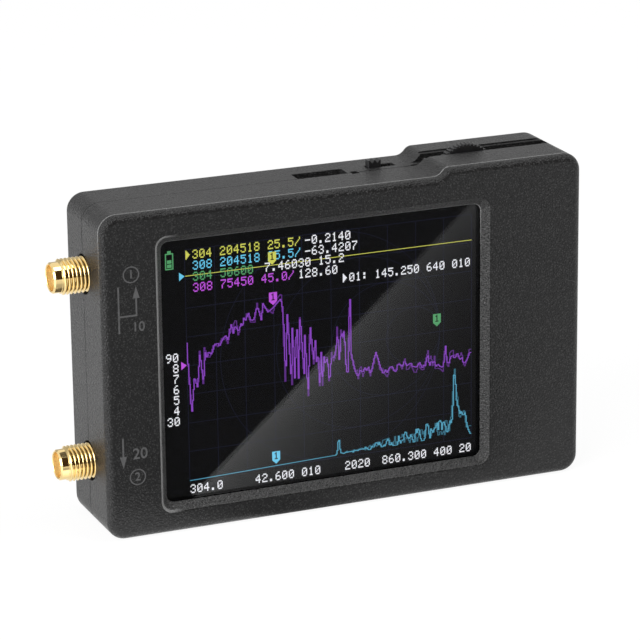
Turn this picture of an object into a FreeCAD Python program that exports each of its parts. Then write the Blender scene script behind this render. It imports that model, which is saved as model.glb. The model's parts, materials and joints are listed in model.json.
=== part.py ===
import FreeCAD, Part
import math
import os
import re

import Sketcher

# Handheld antenna analyzer, standing on the long bottom edge of its case.
# X runs from the port side to the jog side, Y from the screen face to the back,
# Z up. The origin is the centre of the bottom face. Millimetres throughout.

# ---------------------------------------------------------------- driving sizes
SIZES = [
    # case
    ("case_width", 90.3, "outside width, port side to jog side"),
    ("case_height", 58.2, "outside height at the port side"),
    ("case_depth", 19.0, "outside depth, screen face to back"),
    ("step_rise", 1.53, "how far the jog end stands above the rest of the top"),
    ("step_from_right", 26.7, "middle of the step's slope from the jog side"),
    ("step_run", 1.5, "level length of the step's straight slope"),
    ("foot_radius", 1.9, "hollow radius at the foot of the slope"),
    ("crest_radius", 1.6, "round at the head of the slope"),
    ("front_depth", 9.95, "depth of the front shell, screen face to parting line"),
    ("side_wall", 2.0, "thickness of the four side walls"),
    ("face_wall", 1.5, "thickness of the front face"),
    ("back_wall", 1.8, "thickness of the back face"),
    ("corner_radius", 3.2, "outline corner radius"),
    ("inside_radius", 1.2, "outline corner radius of the hollow"),
    ("edge_radius", 1.5, "round along the front and back edges"),
    ("lip_thick", 0.95, "thickness of the rear shell's locating lip"),
    ("lip_high", 0.9, "reach of the locating lip past the parting line"),
    ("lip_gap", 0.1, "clearance round the locating lip"),
    # window and bezel
    ("window_left", 11.2, "port side to the inner window edge"),
    ("window_right", 19.25, "jog side to the inner window edge"),
    ("window_low", 5.3, "bottom to the inner window edge"),
    ("window_high", 5.9, "port-side top to the inner window edge"),
    ("window_radius", 1.4, "corner radius of the inner window edge"),
    ("bezel_width", 1.36, "width of the sloping bezel seen from the front"),
    # display
    ("gasket_thick", 0.2, "foam gasket between face and touch panel"),
    ("gasket_set_back", 0.4, "gasket's inner edge outside the window edge"),
    ("panel_thick", 1.0, "touch panel"),
    ("display_thick", 2.7, "display tray, front to back"),
    ("display_past_left", 2.8, "display beyond the window, port side"),
    ("display_past_right", 6.5, "display beyond the window, jog side"),
    ("display_past_low", 2.3, "display beyond the window, bottom"),
    ("display_past_high", 0.65, "display beyond the window, top"),
    ("cell_thick", 1.4, "liquid crystal cell"),
    ("tray_wall", 0.7, "display tray side wall"),
    ("tray_floor", 1.2, "backlight and tray floor"),
    ("cell_gap", 0.1, "clearance round the cell in its tray"),
    ("pad_inset", 4.0, "foam strips behind the display, in from the tray's edges"),
    ("pad_clear", 0.975, "foam strips clear of the tail's connector"),
    # main board
    ("board_thick", 1.6, "main board"),
    ("board_side_gap", 0.4, "board edge to the case wall, jog side, bottom and top"),
    ("solder_gap", 0.02, "solder film under a lead"),
    ("boss_inset", 5.6, "screw axes in from the outside of the case"),
    ("front_boss_r", 2.1, "front shell screw post"),
    ("rear_boss_r", 2.6, "rear shell screw post"),
    ("post_gap", 0.05, "clearance between a post's end and the board"),
    ("pilot_r", 0.8, "pilot hole in the front post"),
    ("screw_r", 1.0, "screw shank"),
    ("screw_hole_r", 1.15, "clearance hole for the shank"),
    ("screw_head_r", 1.7, "screw head"),
    ("screw_head_high", 1.3, "screw head height"),
    ("screw_well_r", 1.85, "well for the head in the back"),
    ("screw_well_deep", 4.7, "depth of the well"),
    ("screw_long", 9.0, "shank length"),
    # ports
    ("port_1_drop", 12.35, "upper port axis below the port-side top"),
    ("port_2_rise", 11.95, "lower port axis above the bottom"),
    ("port_reach", 6.0, "port beyond the case side"),
    ("thread_r", 3.175, "thread crest radius"),
    ("thread_pitch", 0.7056, "thread pitch, 36 turns per inch"),
    ("thread_deep", 0.38, "thread depth"),
    ("thread_crest", 0.12, "flat on each thread crest"),
    ("port_tip_r", 2.72, "plain tip radius"),
    ("port_tip_long", 1.45, "plain tip length"),
    ("port_chamfer", 0.25, "chamfer round the tip"),
    ("port_neck_r", 2.95, "plain neck through the wall"),
    ("port_hole_gap", 0.3, "clearance round the thread in the wall"),
    ("port_mouth_r", 2.3, "mouth bore radius"),
    ("port_mouth_deep", 1.9, "mouth bore depth"),
    ("insulator_r", 2.05, "insulator bore radius"),
    ("insulator_gap", 0.01, "clearance round the insulator"),
    ("contact_r", 0.635, "centre contact radius"),
    ("contact_hole_r", 0.46, "centre contact socket radius"),
    ("contact_hole_deep", 2.6, "centre contact socket depth"),
    ("flange_thick", 1.8, "port flange"),
    ("flange_past_thread", 0.05, "flange half width beyond the thread crest"),
    ("flange_gap", 0.1, "flange to the inside of the wall"),
    ("leg_long", 4.0, "port legs along the board"),
    ("leg_wide", 1.0, "port legs, width and thickness"),
    ("leg_inset", 0.3, "port legs in from the flange's corners"),
    ("tail_long", 2.6, "contact tail along the board"),
    ("tail_r", 0.4, "contact tail radius"),
    # USB socket
    ("usb_from_right", 45.6, "socket centre from the jog side"),
    ("usb_slot_wide", 9.4, "slot in the top, width"),
    ("usb_slot_gap", 0.06, "slot clearance before and behind the shell"),
    ("usb_wide", 8.94, "socket shell width"),
    ("usb_deep", 3.16, "socket shell depth"),
    ("usb_long", 7.35, "socket shell length"),
    ("usb_wall", 0.3, "socket shell thickness"),
    ("usb_below_top", 1.2, "socket mouth below the top"),
    ("usb_tongue_thick", 0.7, "tongue thickness"),
    ("usb_tongue_side", 1.1, "tongue in from each side"),
    ("usb_base_long", 1.6, "closed length at the back of the socket"),
    ("usb_foot", 1.1, "solder feet width"),
    ("notch_from_right", 39.6, "small parting notch, middle, from the jog side"),
    ("notch_wide", 1.3, "small parting notch width"),
    ("notch_half_deep", 0.75, "small parting notch, each side of the line"),
    ("notch_high", 0.8, "small parting notch, down from the top"),
    # slide switch
    ("switch_slot_from_right", 36.4, "slot's port-side end from the jog side"),
    ("switch_slot_long", 5.3, "slot length"),
    ("switch_slot_deep", 1.9, "slot width, front to back"),
    ("switch_slot_back", 1.55, "slot behind the parting line"),
    ("knob_gap", 0.15, "knob clearance in its slot"),
    ("knob_wide", 2.5, "knob along its travel"),
    ("knob_proud", 1.3, "knob above the top"),
    ("knob_groove", 0.45, "depth of the two grip grooves"),
    ("knob_stem_wide", 1.2, "stem along the travel"),
    ("knob_stem_thick", 0.9, "stem front to back"),
    ("switch_travel", 2.4, "knob travel"),
    ("switch_high", 4.0, "switch body height"),
    ("switch_below_top", 2.9, "switch body below the top"),
    ("switch_wall", 0.5, "switch body wall"),
    ("switch_past_slot", 1.6, "switch body beyond the slot at each end"),
    ("runner_gap", 0.08, "clearance round the runner in the body"),
    ("runner_high", 1.0, "height of the runner inside the body"),
    # jog wheel
    ("jog_from_right", 18.0, "wheel axis from the jog side"),
    ("jog_behind_seam", 0.7, "wheel middle behind the parting line"),
    ("jog_r", 6.0, "wheel rim radius"),
    ("jog_proud", 1.25, "rim above the raised top"),
    ("jog_thick", 1.7, "wheel thickness"),
    ("jog_rim", 1.6, "rim band width"),
    ("jog_half_angle", 52.0, "rim arc each side of upright, degrees"),
    ("jog_web", 1.0, "web thickness between rim and hub"),
    ("jog_hub_r", 2.0, "hub radius"),
    ("jog_pin_r", 0.9, "pivot pin radius"),
    ("jog_pin_gap", 0.05, "pin running clearance"),
    ("jog_tail_wide", 1.1, "lever tail width"),
    ("jog_tail_long", 3.9, "lever tail below the axis"),
    ("tooth_pitch", 7.0, "rim grooves, degrees apart"),
    ("tooth_deep", 0.28, "rim groove depth"),
    ("tooth_half_gap", 2.1, "half the rim groove's mouth, degrees"),
    ("jog_slot_from_right", 1.9, "thumb slot's end from the jog side"),
    ("jog_slot_long", 24.3, "thumb slot length"),
    ("jog_slot_front", 0.85, "thumb slot ahead of the parting line"),
    ("jog_slot_back", 2.25, "thumb slot behind the parting line"),
    ("ledge_wide", 0.9, "sunk ledge behind the thumb slot"),
    ("ledge_deep", 0.25, "depth of the sunk ledge"),
    ("jog_push", 0.5, "push travel of the jog wheel"),
    ("tail_room", 0.4, "room left under the lever tail at full push"),
    ("carriage_half", 3.1, "carriage half width"),
    ("carriage_thick", 1.0, "carriage plate"),
    ("carriage_high", 3.6, "carriage plate height"),
    ("carriage_up", 0.7, "carriage plate above the wheel axis"),
    ("carriage_arm", 0.7, "carriage side arm width"),
    ("carriage_gap", 0.06, "carriage sliding clearance"),
    ("jog_side_gap", 0.15, "wheel to carriage and wheel to floor"),
    ("base_wall", 0.8, "jog base walls"),
    ("base_floor", 0.9, "jog base floor"),
    ("base_up", 0.9, "jog base above the wheel axis"),
    ("base_ear", 1.2, "jog base ears resting on the board"),
    ("base_ear_thick", 0.8, "jog base ear thickness"),
    ("cover_thick", 0.25, "jog cover plate"),
    ("notch_gap", 0.2, "board cut-out round the jog base"),
    ("spring_wire_r", 0.1, "jog spring wire radius"),
    ("spring_r", 0.38, "jog spring coil radius"),
    ("spring_turns", 5, "jog spring turns"),
    ("hairpin_wire", 0.3, "centring spring wire"),
    ("hairpin_gap", 0.03, "centring spring to the lever tail"),
    # behind the board
    ("can_high", 2.3, "shield cans above the board"),
    ("can_wall", 0.25, "shield can sheet"),
    ("can_in_left", 6.6, "cans in from the board's port edge"),
    ("can_from_right", 44.3, "cans' jog-side end from the case side"),
    ("can_low", 7.0, "lower can above the bottom"),
    ("can_from_top", 9.4, "upper can's top below the case top"),
    ("can_split", 2.0, "gap between the two cans"),
    ("tape_thick", 0.5, "foam tape between cans and battery"),
    ("tape_inset", 3.0, "tape in from the battery's edges"),
    ("battery_in_left", 2.6, "battery's port-side edge inside the cans' edge"),
    ("battery_past_cans", 7.5, "battery beyond the cans, jog side"),
    ("battery_inset", 2.2, "battery in from the cans' top and bottom"),
    ("battery_room", 0.4, "room for swelling behind the battery"),
    ("battery_round", 1.0, "battery edge round"),
    ("guard_wide", 2.2, "battery guard board width"),
    ("socket_from_right", 24.5, "battery socket, middle, from the jog side"),
    ("socket_rise", 31.0, "battery socket, middle, above the bottom"),
    ("socket_wide", 6.0, "battery socket along the board"),
    ("socket_deep", 4.4, "battery socket height off the board"),
    ("socket_high", 5.0, "battery socket up and down"),
    ("socket_wall", 0.7, "battery socket wall"),
    ("plug_gap", 0.1, "plug clearance in the socket"),
    ("plug_past", 1.2, "plug standing out of the socket"),
    ("lead_r", 0.5, "battery lead radius"),
    ("lead_apart", 1.3, "battery leads, each from the middle"),
    ("lead_bend", 1.6, "battery lead bend radius"),
    # chips and small parts
    ("chip_high", 1.2, "chip height"),
    ("chip_edge", 0.15, "chip edge chamfer"),
    ("light_size", 1.6, "status light length"),
    ("light_high", 0.7, "status light height"),
    ("light_step", 2.0, "status lights apart, and from the switch"),
    ("light_drop", 3.0, "status lights down from the board's top edge"),
    ("coil_size", 4.0, "power inductor side"),
    ("coil_corner", 0.7, "power inductor corner chamfer"),
    ("coil_from_right", 14.0, "power inductor, middle, from the jog side"),
    ("crystal_wide", 3.2, "crystal width"),
    ("crystal_tall", 2.5, "crystal height along the board"),
    ("crystal_up", 6.0, "crystal above the cans' low edge"),
    ("crystal_past_socket", 3.6, "crystal's middle from the battery socket's"),
    ("crystal_round", 0.45, "crystal corner round"),
    ("coil_high", 2.0, "power inductor height"),
    # display tail
    ("tail_thick", 0.15, "flexible tail thickness"),
    ("tail_wide", 26.0, "flexible tail width"),
    ("tail_reach", 3.2, "tail on the board past the tray"),
    ("catch_wide", 3.4, "tail connector along the tail"),
    ("catch_side", 1.0, "tail connector beyond the tail at each side"),
    ("catch_high", 1.5, "tail connector height off the board"),
]

# Chips: label, the corner they are placed from, then in, up, width and height.
CHIPS = [
    ("mixer_chip_1", "can_x0", "can_mid_z", 8.0, 12.0, 4.0, 5.0),
    ("mixer_chip_2", "can_x0", "can_z0", 8.0, 6.0, 4.0, 5.0),
    ("clock_chip", "can_x1", "can_mid_z", -8.0, 11.0, 3.0, 5.0),
    ("codec_chip", "can_x1", "can_z0", -17.5, 7.0, 5.0, 5.0),
    ("processor_chip", "socket_x", "can_z0", -6.0, 7.0, 7.0, 7.0),
    ("charger_chip", "coil_x", "can_z0", 0.0, 16.0, 3.9, 4.9),
]
for chip, from_x, from_z, *chip_sizes in CHIPS:
    for size_name, chip_size in zip(("in", "up", "wide", "tall"), chip_sizes):
        SIZES.append((f"{chip}_{size_name}", chip_size, f"{chip}, {size_name}"))
CHIP_CORNERS = [chip[:3] for chip in CHIPS]

doc = FreeCAD.newDocument("antenna_analyzer")
sheet = doc.addObject("Spreadsheet::Sheet", "sizes")
for row, (alias, size, note) in enumerate(SIZES, start=1):
    sheet.set(f"A{row}", note)
    sheet.set(f"B{row}", str(size))
    sheet.setAlias(f"B{row}", alias)
doc.recompute()
ALIASES = {alias for alias, size, note in SIZES}

# ------------------------------------------------- places worked out from the sizes
PLACES = {
    "left_x": "-case_width / 2",
    "right_x": "case_width / 2",
    "front_y": "-case_depth / 2",
    "back_y": "case_depth / 2",
    "seam_y": "front_y + front_depth",
    "top_z": "case_height + step_rise",
    "wall_left_x": "left_x + side_wall",
    "wall_right_x": "right_x - side_wall",
    "wall_low_z": "side_wall",
    "wall_high_z": "case_height - side_wall",
    "step_high_z": "top_z - side_wall",
    "step_x": "right_x - step_from_right",
    "face_in_y": "front_y + face_wall",
    "back_in_y": "back_y - back_wall",
    # window
    "window_x0": "left_x + window_left",
    "window_x1": "right_x - window_right",
    "window_z0": "window_low",
    "window_z1": "case_height - window_high",
    # display stack
    "panel_y0": "face_in_y + gasket_thick",
    "tray_y0": "panel_y0 + panel_thick",
    "tray_y1": "tray_y0 + display_thick",
    "cell_y1": "tray_y1 - tray_floor",
    "display_x0": "window_x0 - display_past_left",
    "display_x1": "window_x1 + display_past_right",
    "display_z0": "window_z0 - display_past_low",
    "display_z1": "window_z1 + display_past_high",
    # board: the centre contacts' tails lie on its back
    "board_y1": "seam_y - tail_r",
    "board_y0": "board_y1 - board_thick",
    "board_x0": "flange_x1",
    "board_x1": "wall_right_x - board_side_gap",
    "board_z0": "wall_low_z + board_side_gap",
    "board_z1": "wall_high_z - board_side_gap",
    # ports
    "flange_x0": "wall_left_x + flange_gap",
    "flange_x1": "flange_x0 + flange_thick",
    "flange_half": "thread_r + flange_past_thread",
    "port_1_z": "case_height - port_1_drop",
    "port_2_z": "port_2_rise",
    "port_x0": "left_x - port_reach",
    "hole_r": "thread_r + port_hole_gap",
    # USB socket
    "usb_x": "right_x - usb_from_right",
    "usb_y0": "seam_y + usb_slot_gap",
    "usb_y1": "usb_y0 + usb_deep",
    "usb_z1": "case_height - usb_below_top",
    "usb_z0": "usb_z1 - usb_long",
    "notch_x": "right_x - notch_from_right",
    # slide switch
    "slot_x0": "right_x - switch_slot_from_right",
    "slot_x1": "slot_x0 + switch_slot_long",
    "slot_y0": "seam_y + switch_slot_back",
    "slot_y1": "slot_y0 + switch_slot_deep",
    "knob_x0": "slot_x0 + knob_gap",
    "knob_x1": "knob_x0 + knob_wide",
    "knob_z1": "case_height + knob_proud",
    "switch_z1": "case_height - switch_below_top",
    "switch_z0": "switch_z1 - switch_high",
    "switch_y1": "slot_y1 + switch_wall",
    "switch_x0": "slot_x0 - switch_past_slot",
    "switch_x1": "slot_x1 + switch_past_slot",
    # jog wheel
    "jog_x": "right_x - jog_from_right",
    "jog_z": "top_z + jog_proud - jog_r",
    "jog_y0": "seam_y + jog_behind_seam - jog_thick / 2",
    "jog_y1": "jog_y0 + jog_thick",
    "thumb_x1": "right_x - jog_slot_from_right",
    "thumb_x0": "thumb_x1 - jog_slot_long",
    "thumb_y0": "seam_y - jog_slot_front",
    "thumb_y1": "seam_y + jog_slot_back",
    "carriage_y0": "jog_y1 + jog_side_gap",
    "carriage_y1": "carriage_y0 + carriage_thick",
    "carriage_z1": "jog_z + carriage_up",
    "carriage_z0": "carriage_z1 - carriage_high",
    "base_in_half": "carriage_half + carriage_gap",
    "base_out_half": "base_in_half + base_wall",
    "base_in_y0": "jog_y0 - jog_side_gap",
    "base_y0": "base_in_y0 - base_floor",
    "base_y1": "carriage_y1 + carriage_gap",
    "base_z0": "jog_z - jog_tail_long - jog_push - tail_room - base_wall",
    "base_z1": "jog_z + base_up",
    # behind the board
    "can_x0": "board_x0 + can_in_left",
    "can_x1": "right_x - can_from_right",
    "can_y1": "board_y1 + can_high",
    "can_z0": "can_low",
    "can_z1": "case_height - can_from_top",
    "can_mid_z": "(can_z0 + can_z1) / 2",
    "battery_y0": "can_y1 + tape_thick",
    "battery_y1": "back_in_y - battery_room",
    "battery_x0": "can_x0 + battery_in_left",
    "battery_x1": "can_x1 + battery_past_cans",
    "battery_z0": "can_z0 + battery_inset",
    "battery_z1": "can_z1 - battery_inset",
    "socket_x": "right_x - socket_from_right",
    "coil_x": "right_x - coil_from_right",
    "crystal_x": "socket_x + crystal_past_socket",
    "display_mid_z": "(display_z0 + display_z1) / 2",
    "tail_y0": "cell_y1 - tail_thick * 2",
    "tail_turn_x": "display_x1 + cell_gap",
    "tail_back_y": "board_y0 - catch_high / 2",
    "catch_x1": "display_x1 - tail_reach",
    "knob_x": "(knob_x0 + knob_x1) / 2",
    "knob_y0": "slot_y0 + knob_gap",
    "knob_y1": "slot_y1 - knob_gap",
    "knob_y": "(knob_y0 + knob_y1) / 2",
    "runner_z0": "switch_z0 + switch_wall + runner_gap",
    "runner_half": "knob_wide / 2",
    "guard_y0": "(battery_y0 + battery_y1) / 2 - board_thick / 4",
    "plug_x": "socket_x - socket_wide / 2 - plug_past",
    "plug_y": "board_y1 + socket_deep / 2",
    "lead_y": "guard_y0 + board_thick / 4",
}

WORD = re.compile(r"[a-z_][a-z0-9_]*")


def formula(text):
    """Turn sizes and places named in text into a spreadsheet expression."""

    def replace(match):
        word = match.group(0)
        if word in PLACES:
            return f"({formula(PLACES[word])})"
        return f"sizes.{word}" if word in ALIASES else word

    return WORD.sub(replace, str(text))


def number(text):
    """The present value of a formula."""
    return float(sheet.evalExpression(formula(text)))


def drive(thing, name, text):
    """Bind one property of a document object to a formula."""
    thing.setExpression(name, formula(text))


# ------------------------------------------------------------------ sketch outlines
# For each plane: the role of the body's origin plane, and whether its normal
# points along (+1) or against (-1) the third axis.
PLANES = {"XY": ("XY_Plane", 1), "XZ": ("XZ_Plane", -1), "YZ": ("YZ_Plane", 1)}
SUBPARTS = []


def new_body(label):
    """An empty body that becomes one sub-part."""
    body = doc.addObject("PartDesign::Body", label)
    body.Label = label
    SUBPARTS.append(body)
    return body


def new_sketch(body, name, plane, level):
    """A sketch on one of the body's own origin planes, moved to a level along its axis."""
    sketch = body.newObject("Sketcher::SketchObject", name)
    role, sense = PLANES[plane]
    support = next(item for item in body.Origin.OriginFeatures if item.Role == role)
    sketch.AttachmentSupport = [(support, "")]
    sketch.MapMode = "FlatFace"
    drive(sketch, "AttachmentOffset.Base.z", f"{sense} * ({level})")
    return sketch


def pin_point(sketch, edge, end, across, up):
    """Fix one point of an edge at a place given by two formulas."""
    for kind, text in (("DistanceX", across), ("DistanceY", up)):
        index = sketch.addConstraint(Sketcher.Constraint(kind, -1, 1, edge, end, number(text)))
        drive(sketch, f"Constraints[{index}]", text)


def bent_corner(before, here, after, radius):
    """Where a round corner's arc starts, ends and is centred, and its direction of turn."""
    arriving = (here - before).normalize()
    leaving = (after - here).normalize()
    turn = math.copysign(1, arriving.x * leaving.y - arriving.y * leaving.x)
    reach = radius * math.tan(arriving.getAngle(leaving) / 2)
    entry = here - arriving * reach
    centre = entry + FreeCAD.Vector(-arriving.y, arriving.x, 0) * (radius * turn)
    return entry, here + leaving * reach, centre, turn


def polygon(*corners):
    """Closed outline through corners (across, up) or (across, up, radius), all formulas."""

    def draw(sketch):
        spots = [FreeCAD.Vector(number(corner[0]), number(corner[1]), 0) for corner in corners]
        count = len(spots)
        bends = {}
        for index, corner in enumerate(corners):
            if len(corner) == 3:
                bends[index] = bent_corner(spots[index - 1], spots[index],
                                           spots[(index + 1) % count], number(corner[2]))
        first = sketch.GeometryCount
        for index in range(count):
            after = (index + 1) % count
            start = bends[index][1] if index in bends else spots[index]
            end = bends[after][0] if after in bends else spots[after]
            sketch.addGeometry(Part.LineSegment(start, end), False)
        for index, corner in enumerate(corners):
            arriving = first + (index - 1) % count
            leaving = first + index
            if index not in bends:
                rule = Sketcher.Constraint("Coincident", arriving, 2, leaving, 1)
                sketch.addConstraint(rule)
                pin_point(sketch, leaving, 1, corner[0], corner[1])
                continue
            entry, leave, centre, turn = bends[index]
            ring = Part.Circle(centre, FreeCAD.Vector(0, 0, 1), number(corner[2]))
            ends = (entry, leave) if turn > 0 else (leave, entry)
            angles = [math.atan2(end.y - centre.y, end.x - centre.x) for end in ends]
            arc = sketch.addGeometry(Part.ArcOfCircle(ring, *angles), False)
            enters, leaves = (1, 2) if turn > 0 else (2, 1)
            sketch.addConstraint(Sketcher.Constraint("Tangent", arriving, 2, arc, enters))
            sketch.addConstraint(Sketcher.Constraint("Tangent", arc, leaves, leaving, 1))
            rule = Sketcher.Constraint("Radius", arc, number(corner[2]))
            drive(sketch, f"Constraints[{sketch.addConstraint(rule)}]", corner[2])
            spot = sketch.addGeometry(Part.Point(spots[index]), True)
            pin_point(sketch, spot, 1, corner[0], corner[1])
            for side in (arriving, leaving):
                sketch.addConstraint(Sketcher.Constraint("PointOnObject", spot, 1, side))

    return draw


def rectangle(left, right, low, high):
    """Upright rectangle between four formulas."""
    return polygon((left, low), (right, low), (right, high), (left, high))


def circle(across, up, radius):
    """Circle about a centre given by formulas."""

    def draw(sketch):
        centre = FreeCAD.Vector(number(across), number(up), 0)
        shape = Part.Circle(centre, FreeCAD.Vector(0, 0, 1), number(radius))
        edge = sketch.addGeometry(shape, False)
        pin_point(sketch, edge, 3, across, up)
        index = sketch.addConstraint(Sketcher.Constraint("Radius", edge, number(radius)))
        drive(sketch, f"Constraints[{index}]", radius)

    return draw


def rounded(left, right, low, high, radius):
    """Upright rectangle with four equal round corners."""
    return polygon((left, low, radius), (right, low, radius),
                   (right, high, radius), (left, high, radius))


# --------------------------------------------------------------- solid-making steps
STEPS = []


def extrude(body, feature, name, plane, start, end, *outlines):
    """Pad or Pocket from the level start up to the level end along the plane's axis."""
    sketch = new_sketch(body, name + "_sketch", plane, start)
    for draw in outlines:
        draw(sketch)
    made = body.newObject("PartDesign::" + feature, name)
    made.Profile = sketch
    drive(made, "Length", f"({end}) - ({start})")
    made.Reversed = (feature == "Pocket") == (plane != "XZ")
    STEPS.append((made, feature))
    return made


def pad(body, name, plane, start, end, *outlines):
    return extrude(body, "Pad", name, plane, start, end, *outlines)


def pocket(body, name, plane, start, end, *outlines):
    return extrude(body, "Pocket", name, plane, start, end, *outlines)


def turned(body, feature, name, plane, level, axis, *outlines):
    """Revolution or Groove of an outline about the sketch's own H_Axis or V_Axis."""
    sketch = new_sketch(body, name + "_sketch", plane, level)
    for draw in outlines:
        draw(sketch)
    made = body.newObject("PartDesign::" + feature, name)
    made.Profile = sketch
    made.ReferenceAxis = (sketch, [axis])
    made.Angle = 360
    STEPS.append((made, feature))
    return made


def between(body, feature, name, plane, first_level, first_outline, last_level, last_outline):
    """Loft from one outline to another on parallel planes."""
    first = new_sketch(body, name + "_first", plane, first_level)
    first_outline(first)
    last = new_sketch(body, name + "_last", plane, last_level)
    last_outline(last)
    made = body.newObject("PartDesign::" + feature, name)
    made.Profile = first
    made.Sections = [last]
    made.Ruled = True
    STEPS.append((made, feature))
    return made


def dress(body, feature, name, size, chosen):
    """Fillet or Chamfer on the edges of the body's tip that the test chooses."""
    doc.recompute()
    base = body.Tip
    edges = [f"Edge{index}" for index, edge in enumerate(base.Shape.Edges, start=1)
             if chosen(edge)]
    if not edges:
        raise RuntimeError(f"{name} of {body.Label} found no edge")
    made = body.newObject("PartDesign::" + feature, name)
    made.Base = (base, edges)
    drive(made, "Radius" if feature == "Fillet" else "Size", size)
    return made


def near(first, second):
    return abs(first - second) < 1e-4


def runs_along(axis, *places):
    """Test for a straight edge along an axis, at one of the (a, b) places across it."""
    spots = [(number(a), number(b)) for a, b in places]

    def chosen(edge):
        if edge.Curve.TypeId != "Part::GeomLine":
            return False
        low = edge.BoundBox.XMin, edge.BoundBox.YMin, edge.BoundBox.ZMin
        high = edge.BoundBox.XMax, edge.BoundBox.YMax, edge.BoundBox.ZMax
        across = [index for index in range(3) if index != "XYZ".index(axis)]
        if any(not near(low[index], high[index]) for index in across):
            return False
        here = low[across[0]], low[across[1]]
        return not spots or any(near(here[0], a) and near(here[1], b) for a, b in spots)

    return chosen


def lies_at_y(level):
    """Test for edges that lie wholly in the plane Y = level."""
    where = number(level)
    return lambda edge: near(edge.BoundBox.YMin, where) and near(edge.BoundBox.YMax, where)


def block(label, x0, x1, y0, y1, z0, z1):
    """A plain rectangular sub-part as a body with one pad."""
    body = new_body(label)
    pad(body, label + "_block", "XZ", y0, y1, rectangle(x0, x1, z0, z1))
    return body


# ------------------------------------------------------------------- case shells
def case_outline(inset, radius, *slope_radii):
    """The case seen from the front with its step, drawn in by an inset."""
    # moving a 45 degree slope inwards shifts its level ends by inset * tan(22.5)
    shift = f"({inset}) * tan(22.5deg)"
    foot = (f"step_x - step_run / 2 + {shift}", f"case_height - ({inset})", *slope_radii[:1])
    crest = (f"step_x + step_run / 2 + {shift}", f"top_z - ({inset})", *slope_radii[1:])
    return polygon(
        (f"left_x + ({inset})", inset, radius),
        (f"right_x - ({inset})", inset, radius),
        (f"right_x - ({inset})", f"top_z - ({inset})", radius),
        crest,
        foot,
        (f"left_x + ({inset})", f"case_height - ({inset})", radius),
    )


def shell_blank(body, start, end, outer_face):
    """Outside of one shell with the round along its outer edge."""
    pad(body, body.Label + "_outside", "XZ", start, end,
        case_outline("0", "corner_radius", "foot_radius", "crest_radius"))
    dress(body, "Fillet", body.Label + "_edge", "edge_radius", lies_at_y(outer_face))


def screw_places():
    """Axes of the four case screws as (name, x, z)."""
    return [
        ("low_left", "left_x + boss_inset", "boss_inset"),
        ("low_right", "right_x - boss_inset", "boss_inset"),
        ("high_left", "left_x + boss_inset", "case_height - boss_inset"),
        ("high_right", "right_x - boss_inset", "case_height - boss_inset"),
    ]


def cut_port_holes(body):
    """Half holes for both ports on the parting line."""
    for name, z in (("port_1_hole", "port_1_z"), ("port_2_hole", "port_2_z")):
        pocket(body, f"{body.Label}_{name}", "YZ", "left_x - flange_gap",
               "wall_left_x + flange_gap", circle("seam_y", z, "hole_r"))


def cut_parting_notch(body):
    """Small notch on the parting line beside the USB slot."""
    pocket(body, body.Label + "_notch", "XY", "case_height - notch_high",
           "case_height + step_rise",
           rectangle("notch_x - notch_wide / 2", "notch_x + notch_wide / 2",
                     "seam_y - notch_half_deep", "seam_y + notch_half_deep"))


def cut_thumb_slot(body, front):
    """Long slot on the raised top that the jog wheel stands in, from the level front back."""
    pocket(body, body.Label + "_thumb_slot", "XY", "step_high_z - step_rise - side_wall",
           "top_z + step_rise",
           rectangle("thumb_x0", "thumb_x1", front, "thumb_y1"))


def make_front_shell():
    body = new_body("front_shell")
    shell_blank(body, "front_y", "seam_y", "front_y")
    pocket(body, "front_hollow", "XZ", "face_in_y", "seam_y",
           case_outline("side_wall", "inside_radius"))
    groove = "side_wall - lip_thick - lip_gap"
    pocket(body, "front_lip_groove", "XZ", "seam_y - lip_high - lip_gap", "seam_y",
           case_outline(groove, f"corner_radius - ({groove})"))
    between(body, "SubtractiveLoft", "window", "XZ",
            "front_y",
            rounded("window_x0 - bezel_width", "window_x1 + bezel_width",
                    "window_z0 - bezel_width", "window_z1 + bezel_width",
                    "window_radius + bezel_width / 2"),
            "face_in_y",
            rounded("window_x0", "window_x1", "window_z0", "window_z1", "window_radius"))
    for name, x, z in screw_places():
        pad(body, "front_post_" + name, "XZ", "face_in_y", "board_y0 - post_gap",
            circle(x, z, "front_boss_r"))
        pocket(body, "pilot_" + name, "XZ", "face_in_y", "board_y0 - post_gap",
               circle(x, z, "pilot_r"))
    cut_port_holes(body)
    cut_parting_notch(body)
    cut_thumb_slot(body, "thumb_y0")
    return body


def make_rear_shell():
    body = new_body("rear_shell")
    shell_blank(body, "seam_y", "back_y", "back_y")
    lip = "side_wall - lip_thick"
    pad(body, "rear_lip", "XZ", "seam_y - lip_high", "seam_y",
        case_outline(lip, f"corner_radius - ({lip})"))
    pocket(body, "rear_hollow", "XZ", "seam_y - lip_high", "back_in_y",
           case_outline("side_wall", "inside_radius"))
    for name, x, z in screw_places():
        pad(body, "rear_post_" + name, "XZ", "board_y1 + post_gap", "back_in_y",
            circle(x, z, "rear_boss_r"))
        pocket(body, "screw_hole_" + name, "XZ", "board_y1 + post_gap", "back_y",
               circle(x, z, "screw_hole_r"))
        pocket(body, "screw_well_" + name, "XZ", "back_y - screw_well_deep", "back_y",
               circle(x, z, "screw_well_r"))
    cut_port_holes(body)
    cut_parting_notch(body)
    cut_thumb_slot(body, "seam_y - lip_high - lip_gap")
    pocket(body, "thumb_ledge", "XY", "top_z - ledge_deep", "top_z + step_rise",
           rectangle("thumb_x0", "thumb_x1", "thumb_y1", "thumb_y1 + ledge_wide"))
    pocket(body, "usb_slot", "XY", "wall_high_z - lip_gap", "case_height + step_rise",
           rectangle("usb_x - usb_slot_wide / 2", "usb_x + usb_slot_wide / 2",
                     "seam_y - lip_high - lip_gap", "usb_y1 + usb_slot_gap"))
    pocket(body, "switch_slot", "XY", "wall_high_z - lip_gap", "case_height + step_rise",
           rectangle("slot_x0", "slot_x1", "slot_y0", "slot_y1"))
    return body


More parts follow.
